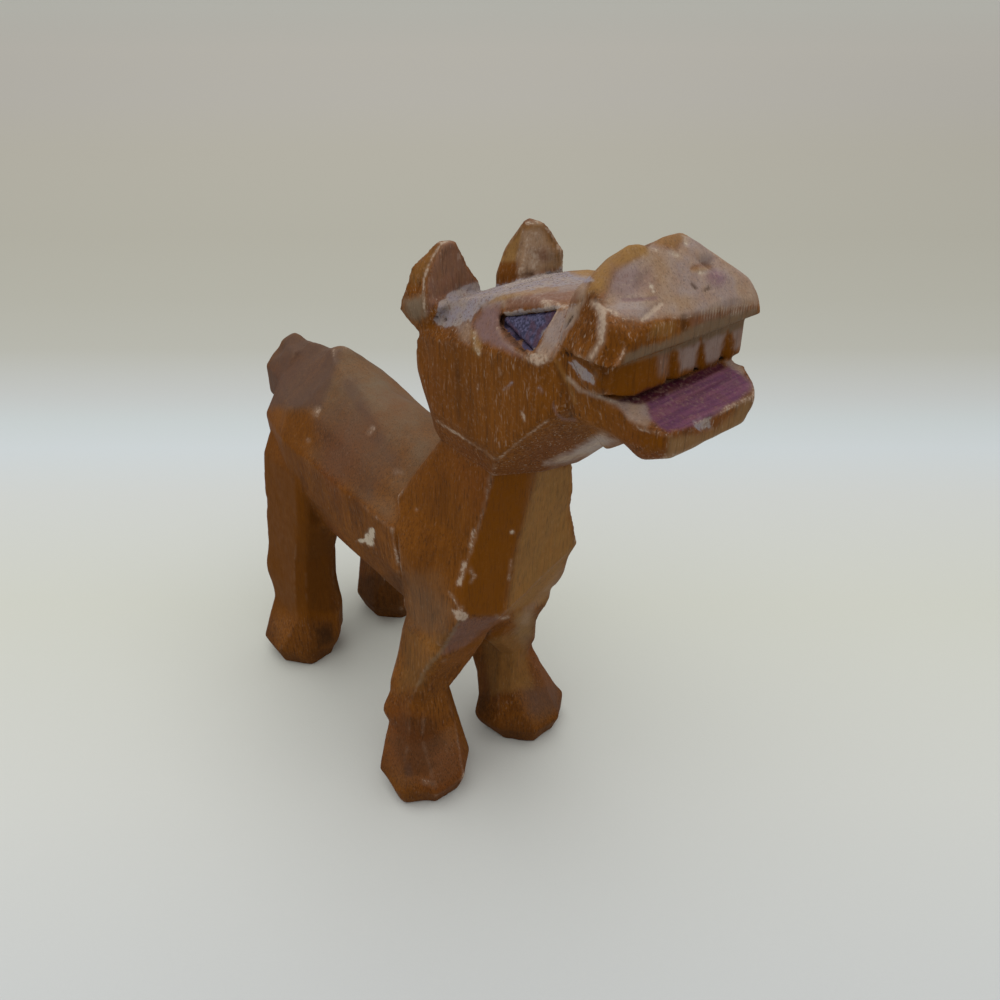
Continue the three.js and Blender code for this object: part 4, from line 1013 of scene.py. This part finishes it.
# %% Marks on the body
BODY_PATCHES = {
    "neck_front_right": ("raw", 1.0, 2.5, 0, [
        (494, 476), (534, 471), (523, 520), (515, 545), (509, 570), (505, 595), (503, 615), (470, 615),
        (463, 608), (456, 592), (458, 580), (463, 565), (471, 548), (478, 535), (484, 515)]),
    "neck_right": ("raw", 0.4, 8, 0, [
        (440, 440), (492, 470), (474, 545), (458, 610), (410, 580), (400, 500)]),
    "neck_front_left": ("honey", 0.55, 5, 0, [
        (538, 470), (572, 466), (570, 520), (575, 545), (545, 602), (507, 613), (519, 540)]),
    "breast_left": ("honey", 0.4, 6, 0, [(530, 570), (566, 560), (548, 602), (507, 613)]),
    "breast_corner": ("worn", 0.85, 1.8, 0.05, [
        (452, 610), (459, 610), (469, 614), (468, 618), (462, 621), (456, 619)]),
    "under_breast": ("pink", 0.4, 3, 0, [
        (462, 619), (502, 617), (482, 631), (463, 648), (441, 655), (451, 636)]),
    "left_breast_foot": ("honey", 0.45, 6, 0, [(514, 611), (532, 606), (534, 634), (518, 640)]),
    "shoulder": ("dust", 0.35, 8, 0, [(405, 573), (440, 570), (455, 610), (448, 636), (408, 630)]),
    "croup": ("dusk", 0.8, 5, 0, [
        (264, 370), (288, 330), (325, 343), (342, 350), (330, 385), (322, 408), (290, 408), (264, 406)]),
    "thigh": ("raw", 0.45, 6, 0, [(258, 412), (312, 412), (314, 445), (290, 475), (258, 470)]),
    "flank": ("dusk", 0.35, 9, 0, [(312, 420), (350, 390), (393, 466), (372, 500), (325, 470)]),
    "hind_leg": ("raw", 0.95, 8, 0, [(254, 440), (295, 480), (330, 540), (335, 620), (256, 612)]),
    # Painted shade on the inner side of the hind leg, where the body shades it.
    "hind_leg_inside": ("dark", 0.4, 4, 0, [(303, 495), (314, 505), (334, 540), (340, 612), (306, 612)]),
    "hind_leg_shade": ("dark", 0.3, 10, 0, [(262, 440), (295, 480), (318, 540), (320, 612), (262, 612)]),
    "far_knee": ("dust", 0.55, 5, 0, [(518, 612), (534, 606), (533, 638), (524, 648), (512, 630)]),
    # Painted shade on the inner side of the far front leg.
    "far_leg_inside": ("dark", 0.35, 4, 0, [
        (471, 656), (484, 650), (490, 680), (494, 722), (480, 724), (476, 690)]),
    "front_leg": ("honey", 0.25, 8, 0, [(405, 632), (448, 636), (440, 655), (420, 690), (398, 690)]),
    "far_leg": ("honey", 0.35, 5, 0, [(482, 640), (525, 630), (532, 688), (490, 695)]),
    # A small pale chip on the belly that also paints a bright glint of the light.
    "belly_chip_and_glint": ("chip", 0.85, 2, 0.1, [
        (369, 528), (374, 530), (373, 549), (366, 544), (357, 541), (364, 537)]),
    "front_hoof": ("dark", 0.45, 7, 0, [
        (400, 714), (438, 720), (444, 742), (425, 764), (402, 776), (393, 740)]),
    "front_hoof_cut": ("dark", 0.5, 4, 0, [(405, 762), (428, 758), (440, 764), (428, 774), (410, 776)]),
    "hind_hoof": ("dark", 0.85, 6, 0, [(314, 626), (332, 626), (336, 642), (318, 650)]),
    "far_hoof": ("dark", 0.6, 5, 0, [(475, 688), (490, 690), (492, 722), (478, 722)]),
    "far_hoof_front": ("dusk", 0.6, 8, 0, [(524, 690), (556, 686), (560, 708), (530, 716)]),
    # Painted shade on the hoof that stands behind the others.
    "hidden_hoof": ("dark", 0.5, 5, 0, [(356, 575), (405, 575), (405, 618), (356, 618)]),
}
BODY_LINES = {
    "breast_edge": ("worn", 0.42, 1.8, 0, [(492, 476), (475, 540), (465, 566)]),
    "rubbed_edge": ("worn", 0.65, 2.4, 0.03, [(474, 531), (470, 546)]),
    "rubbed_breast": ("worn", 0.85, 3, 0.04, [(465, 563), (462, 575), (459, 583)]),
    "rubbed_breast_front": ("worn", 0.65, 2.2, 0.04, [(470, 570), (474, 576), (471, 582)]),
    "facet_edge": ("worn", 0.6, 1.6, 0, [(449, 592), (456, 603), (460, 611)]),
    "keel_edge": ("worn", 0.45, 1.5, 0, [(511, 560), (509, 580)]),
    "breast_foot": ("worn", 0.7, 1.8, 0.04, [(497, 616), (503, 619), (508, 617)]),
    "under_yellow": ("raw", 0.9, 3, 0, [(464, 649), (495, 634), (513, 626)]),
    "knee_edge": ("dust", 0.8, 2, 0, [
        (459, 621), (456, 627), (449, 639), (441, 652), (428, 666), (418, 685)]),
    "front_hoof_shine": ("worn", 0.4, 3, 0, [(424, 781), (433, 784)]),
    "front_hoof_blot": ("dusk", 0.6, 4, 0, [(408, 767), (409, 774)]),
    "back_edge": ("dusk", 0.6, 9, 0, [(350, 386), (372, 432), (393, 466)]),
    "breast_bevel": ("bloom", 0.4, 4, 0, [(525, 622), (527, 610), (543, 596), (555, 581), (563, 569)]),
    "keel_fleck": ("chip", 0.7, 2.2, 0.05, [(512, 532)]),
    # These chips on the rump, back, withers, hip and girth are small pale dents that also paint the white
    # glints of the light on the body.
    "rump_chip_and_glint": ("worn", 0.5, 3.4, 0.1, [(315, 414), (318, 409)]),
    "back_chip_and_glint": ("worn", 0.75, 3, 0.1, [(369, 432), (372, 428)]),
    "withers_chip_and_glint": ("worn", 0.45, 3.4, 0.1, [(396, 471), (401, 472)]),
    "hip_chip_and_glint": ("worn", 0.45, 2.6, 0.1, [(308, 440)]),
    "girth_chip_and_glint": ("worn", 0.6, 2, 0.1, [(417, 510)]),
}
print("marks on the body:", len(BODY_PATCHES) + len(BODY_LINES))

# %% How far a pixel lies from a mark
NO_LENGTH = 1e-9


def from_line(pixels, path):
    """How far pixels lie from a line through some points, or from a single point."""
    path = np.array(path if len(path) > 1 else path * 2, float)
    nearest = np.full(len(pixels), np.inf)
    for one, two in zip(path[:-1], path[1:]):
        along = two - one
        share = np.clip((pixels - one) @ along / max(along @ along, NO_LENGTH), 0, 1)
        nearest = np.minimum(nearest, np.linalg.norm(pixels - one - share[:, None] * along, axis=1))
    return nearest


def inside(pixels, outline):
    """Whether pixels lie within an outline."""
    odd = np.zeros(len(pixels), bool)
    for (x1, y1), (x2, y2) in zip(outline, outline[1:] + outline[:1]):
        if y1 != y2:
            crosses = (y1 > pixels[:, 1]) != (y2 > pixels[:, 1])
            odd ^= crosses & (pixels[:, 0] < x1 + (pixels[:, 1] - y1) * (x2 - x1) / (y2 - y1))
    return odd


# %% How a mark gets onto the wood
RAGGED_SIZE, RAGGED_PIXELS = 0.9, 1.3
PATCHY_SIZE, PATCHY_MEAN, PATCHY_SWING = 2.0, 0.8, 0.3
LINE_RAGGED, LINE_OUTER, LINE_CORE = 0.6, 1.7, 0.2


def put_marks(carving, patches, lines):
    """Puts patches and lines on the corners that the camera sees, with ragged borders."""
    shown = np.flatnonzero(carving.seen)
    pixels = carving.pixels[shown]
    ragged = wobble(carving.points[shown], RAGGED_SIZE, 6) * RAGGED_PIXELS
    patchy = PATCHY_MEAN + PATCHY_SWING * wobble(carving.points[shown], PATCHY_SIZE, 7)

    def patch_cover(border, outline):
        gap = from_line(pixels, outline + outline[:1]) * np.where(inside(pixels, outline), -1, 1)
        return smooth_step(border, -border, gap + ragged)

    def line_cover(border, path):
        gap = from_line(pixels, path) + LINE_RAGGED * ragged
        return smooth_step(LINE_OUTER * border, LINE_CORE * border, gap) * patchy

    for rows, cover_of in [(patches, patch_cover), (lines, line_cover)]:
        for finish, strength, border, depth, points in rows.values():
            cover = cover_of(border, points)
            # A mark wipes off the grime and painted shade below it.
            carving.marks["grime"][shown] *= 1 - strength * cover
            carving.marks[finish][shown] = np.maximum(carving.marks[finish][shown], strength * cover)
            carving.cut[shown] += depth * cover


# %% How the hidden side gets its marks
MIRROR_REACH = 1.0
MIRROR_SHARE = 0.85


def mirror_marks(carving, finishes):
    """Gives the hidden left side the finishes and cuts of the right side."""
    shown = np.flatnonzero(carving.seen & (carving.points[:, 1] < 0))
    tree = KDTree(len(shown))
    for place, corner in enumerate(shown):
        tree.insert(carving.points[corner], place)
    tree.balance()
    hidden = np.flatnonzero(~carving.seen & (carving.points[:, 1] > 0))
    found = [tree.find((x, -y, z)) for x, y, z in carving.points[hidden]]
    close = np.array([gap < MIRROR_REACH for _, _, gap in found])
    twins = shown[[place for _, place, _ in found]][close]
    hidden = hidden[close]
    for finish in finishes:
        values = carving.marks[finish]
        values[hidden] = np.maximum(values[hidden], MIRROR_SHARE * values[twins])
    carving.cut[hidden] += MIRROR_SHARE * carving.cut[twins]
    return len(hidden)


# %% Put the marks on the wood
for carving in (body, head):
    carving.find_pixels()
put_marks(head, {**CROWN_AND_EAR_PATCHES, **EYE_PATCHES, **CHEEK_PATCHES, **MUZZLE_PATCHES,
                 **MOUTH_PATCHES},
          {**CROWN_AND_EAR_LINES, **EYE_LINES, **CHEEK_LINES, **MUZZLE_LINES, **MOUTH_LINES})
put_marks(body, BODY_PATCHES, BODY_LINES)
print("mirrored corners:", mirror_marks(head, list(MARK_TINTS)),
      mirror_marks(body, ["raw", "dusk", "dust", "dark", "worn"]))
for carving in (body, head):
    carving.points -= carving.normals * carving.cut[:, None]
    carving.find_normals()

# %% [markdown]
# ## Pieces
# The two carvings are parted again near the glue lines, so that each piece stands for its solid. Each
# face goes to one piece, and a fan of faces closes the piece at its rim. The rims at the legs, the tail
# and the chin are first laid into the seam's flat. As the pieces share the rim and its normals, no joint
# shows. The jaw is parted a little in front of its glue line, where the mouth is open wide enough.

# %% Which piece a face belongs to
SEAM_STEP = 0.6
CHIN_STEP = 2.2
MOUTH_HEIGHT = 21.8
MOUTH_SLOPE = -0.1
FRONT_FROM_X = -15
leg_seam = belly - SEAM_STEP
tail_seam = rump - SEAM_STEP
chin_seam = jaw_seam + CHIN_STEP
ear_seam = ear_up @ EAR_SEAT + SEAM_STEP
SEAMS = [(np.array(UP), leg_seam), (np.array(LEFT), 0.0), (np.array(FORWARD), tail_seam),
         (np.array(FORWARD), chin_seam)]


def body_piece(x, y, z):
    """The number of the piece of the body at a place: torso, tail, then the legs."""
    leg = np.where(x > FRONT_FROM_X, np.where(y < 0, 2, 3), np.where(y < 0, 4, 5))
    return np.where(z < leg_seam, leg, np.where(x < tail_seam, 1, 0))


def head_piece(x, y, z):
    """The number of the piece of the head at a place: head, jaw, then the ears."""
    ear = ear_up[0] * x + ear_up[2] * z > ear_seam
    mouth = neck_top + MOUTH_HEIGHT + MOUTH_SLOPE * (x - jaw_seam)
    jaw = (x > chin_seam) & (z < mouth)
    return np.where(ear, np.where(y < 0, 2, 3), np.where(jaw, 1, 0))


print("seams at", [round(float(level), 2) for level in (leg_seam, tail_seam, chin_seam, ear_seam)])


# %% Rims between the pieces
def rim_loops(faces):
    """Closed runs of corners along the open rim of some faces."""
    sides = np.concatenate([faces[:, [i, (i + 1) % 4]] for i in range(4)])
    known = set(map(tuple, sides.tolist()))
    after = {one: two for one, two in known if (two, one) not in known}
    loops = []
    while after:
        first, corner = after.popitem()
        loop = [first]
        while corner != first:
            loop.append(corner)
            corner = after.pop(corner)
        loops.append(loop)
    return loops


def settle_rims(carving, owner):
    """Moves the corners between two pieces into the nearest seam."""
    count = len(carving.points)
    low = np.full(count, count)
    high = np.full(count, -1)
    for i in range(4):
        np.minimum.at(low, carving.faces[:, i], owner)
        np.maximum.at(high, carving.faces[:, i], owner)
    rim = low != high
    for normal, level in SEAMS:
        off = carving.points @ normal - level
        close = rim & (np.abs(off) < carving.voxel)
        carving.points[close] -= off[close, None] * normal
    carving.find_normals()


# %% A piece with its seams closed
ON_SEAM = 1e-6
SEAM_CORNERS = 4


def add_piece(name, carving, faces, replaced):
    """A piece of a carving as an object in metres, closed at its seams."""
    points = carving.points
    extra, caps = [], []
    for loop in rim_loops(faces):
        apex = points[loop].mean(axis=0)
        for normal, level in SEAMS:
            if (np.abs(points[loop] @ normal - level) < ON_SEAM).sum() > SEAM_CORNERS:
                apex = apex - (apex @ normal - level) * normal
        caps += [(two, one, len(points) + len(extra)) for one, two in zip(loop, loop[1:] + loop[:1])]
        extra.append(apex)
    used = np.unique(faces)
    renumber = np.full(len(points) + len(extra), -1)
    renumber[used] = np.arange(len(used))
    renumber[len(points):] = len(used) + np.arange(len(extra))
    shape = renumber[faces].tolist() + [renumber[list(cap)].tolist() for cap in caps]
    made = new_object(name, np.concatenate([points[used], np.reshape(extra, (-1, 3))]) / MM, shape)
    mesh = made.data
    mesh.polygons.foreach_set("use_smooth", [True] * len(shape))
    normals = np.concatenate([carving.normals[used], np.zeros((len(extra), 3))])
    mesh.normals_split_custom_set_from_vertices(normals)
    for finish, share in carving.marks.items():
        if share[used].max() > 0:
            layer = mesh.attributes.new(finish, "FLOAT", "POINT")
            values = np.append(share[used], np.zeros(len(extra)))
            layer.data.foreach_set("value", values.astype(np.float32))
    mesh.materials.append(carving.finish)
    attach(made, "root")
    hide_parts(replaced)
    print(name, "triangles", 2 * len(faces) + len(caps), "caps", len(extra))


# %% Part the carvings
for carving, rule, solids in [
        (body, body_piece, ["torso", "tail", "front_right_leg", "front_left_leg", "hind_right_leg",
                            "hind_left_leg"]),
        (head, head_piece, ["head", "lower_jaw", "right_ear", "left_ear"])]:
    owner = rule(*carving.points[carving.faces].mean(axis=1).T)
    settle_rims(carving, owner)
    for number, solid in enumerate(solids):
        add_piece(f"{solid}_carving", carving, carving.faces[owner == number], solid)

# %% [markdown]
# ## Eyes
# An eye is a thin three-cornered block at the bottom of its pocket, covered with thick, pebbly paint.

# %% Two painted eyes
EYE_VOXEL = 0.13
EYE_EDGE = 0.3
EYE_GROWTH = 0.2
PEBBLES = {"Hollow Depth": 0.3, "Hollow Size": 2.2, "Ripple Depth": 0.16, "Ripple Size": 0.5}
INLAY_PATCHES = {
    "bare_front": ("bloom", 0.95, 1.2, 0, [
        (560, 309), (557, 319), (543, 330), (538, 345), (532, 352), (566, 340)]),
}
INLAY_LINES = {
    "thin_front": ("plum", 0.8, 2.2, 0, [(553, 313), (552, 320), (539, 331), (535, 345)]),
    "thin_rear": ("plum", 0.6, 1.6, 0, [(507, 319), (518, 334), (530, 348)]),
}

for side in ("right", "left"):
    blank = blank_of(f"{side}_eye_blank", {f"{side}_eye": []})
    eye = Carving(blank, EYE_VOXEL, EYE_EDGE, PEBBLES, eye_paint)
    eye.points += EYE_GROWTH * eye.normals
    eye.find_pixels()
    put_marks(eye, INLAY_PATCHES, INLAY_LINES)
    add_piece(f"{side}_eye_inlay", eye, eye.faces, f"{side}_eye")

# %% [markdown]
# ## Crumbs of filler
# The filler on the crown is coarse and has shed crumbs, far too many to place one by one. A second tree
# scatters them over the part of the head that carries filler.

# %% The tree that scatters crumbs
DENT_SIZE, DENT_LEAST, DENT_SWING = 0.25, 0.65, 0.7
SMALLEST_CRUMB, LARGEST_CRUMB = (0.5, 0.5, 0.3), (1.6, 1.4, 0.7)

start, given = geometry_tree("scattered_crumbs", {
    "Crumbs Per Area": "Float", "Crumb Size": "Float", "Seed": "Int", "Finish": "Material"})
crumb_work = start.tree
spots = start.node("GeometryNodeDistributePointsOnFaces", {},
                   {"Mesh": given["Geometry"], "Density": given["Crumbs Per Area"], "Seed": given["Seed"]})
ball = start.node("GeometryNodeMeshIcoSphere", {}, {"Radius": given["Crumb Size"], "Subdivisions": 2})
place = start.node("GeometryNodeInputPosition")
dent = place.noise(DENT_SIZE, 1.0) * DENT_SWING + DENT_LEAST
dented = start.node("ShaderNodeVectorMath", {"operation": "SCALE"}, {0: place, "Scale": dent})
crumb = start.node("GeometryNodeSetPosition", {}, {"Geometry": ball, "Position": dented})
sizes = start.node("FunctionNodeRandomValue", {"data_type": "FLOAT_VECTOR"},
                   {"Min": SMALLEST_CRUMB, "Max": LARGEST_CRUMB, "Seed": given["Seed"]})
strewn = start.node("GeometryNodeInstanceOnPoints", {}, {
    "Points": spots, "Instance": crumb, "Rotation": spots.other("Rotation"), "Scale": sizes})
end_tree(start, strewn, given["Finish"])
print("crumb nodes:", len(crumb_work.nodes))

# %% Crumbs on the crown
FILLER_LEVEL = 0.75
CROWN_RISE = 17
CRUMBS = {"Crumbs Per Area": 1.6, "Crumb Size": 0.11, "Seed": 8, "Finish": filler}

crowned = head.marks["crust"][head.faces].min(axis=1) > FILLER_LEVEL
crowned &= head.points[head.faces].mean(axis=1)[:, 2] > neck_top + CROWN_RISE
crown_patch = new_object("crown_patch", head.points, head.faces[crowned].tolist())
crumb_mesh = run_tree(crown_patch, crumb_work, CRUMBS)
places = np.empty(len(crumb_mesh.vertices) * 3, np.float32)
crumb_mesh.vertices.foreach_get("co", places)
crumb_mesh.vertices.foreach_set("co", places / MM)
crumb_mesh.polygons.foreach_set("use_smooth", [True] * len(crumb_mesh.polygons))
crumbs = bpy.data.objects.new("crown_crumbs", crumb_mesh)
bpy.context.collection.objects.link(crumbs)
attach(crumbs, "root")
print("crumb faces:", len(crumb_mesh.polygons))
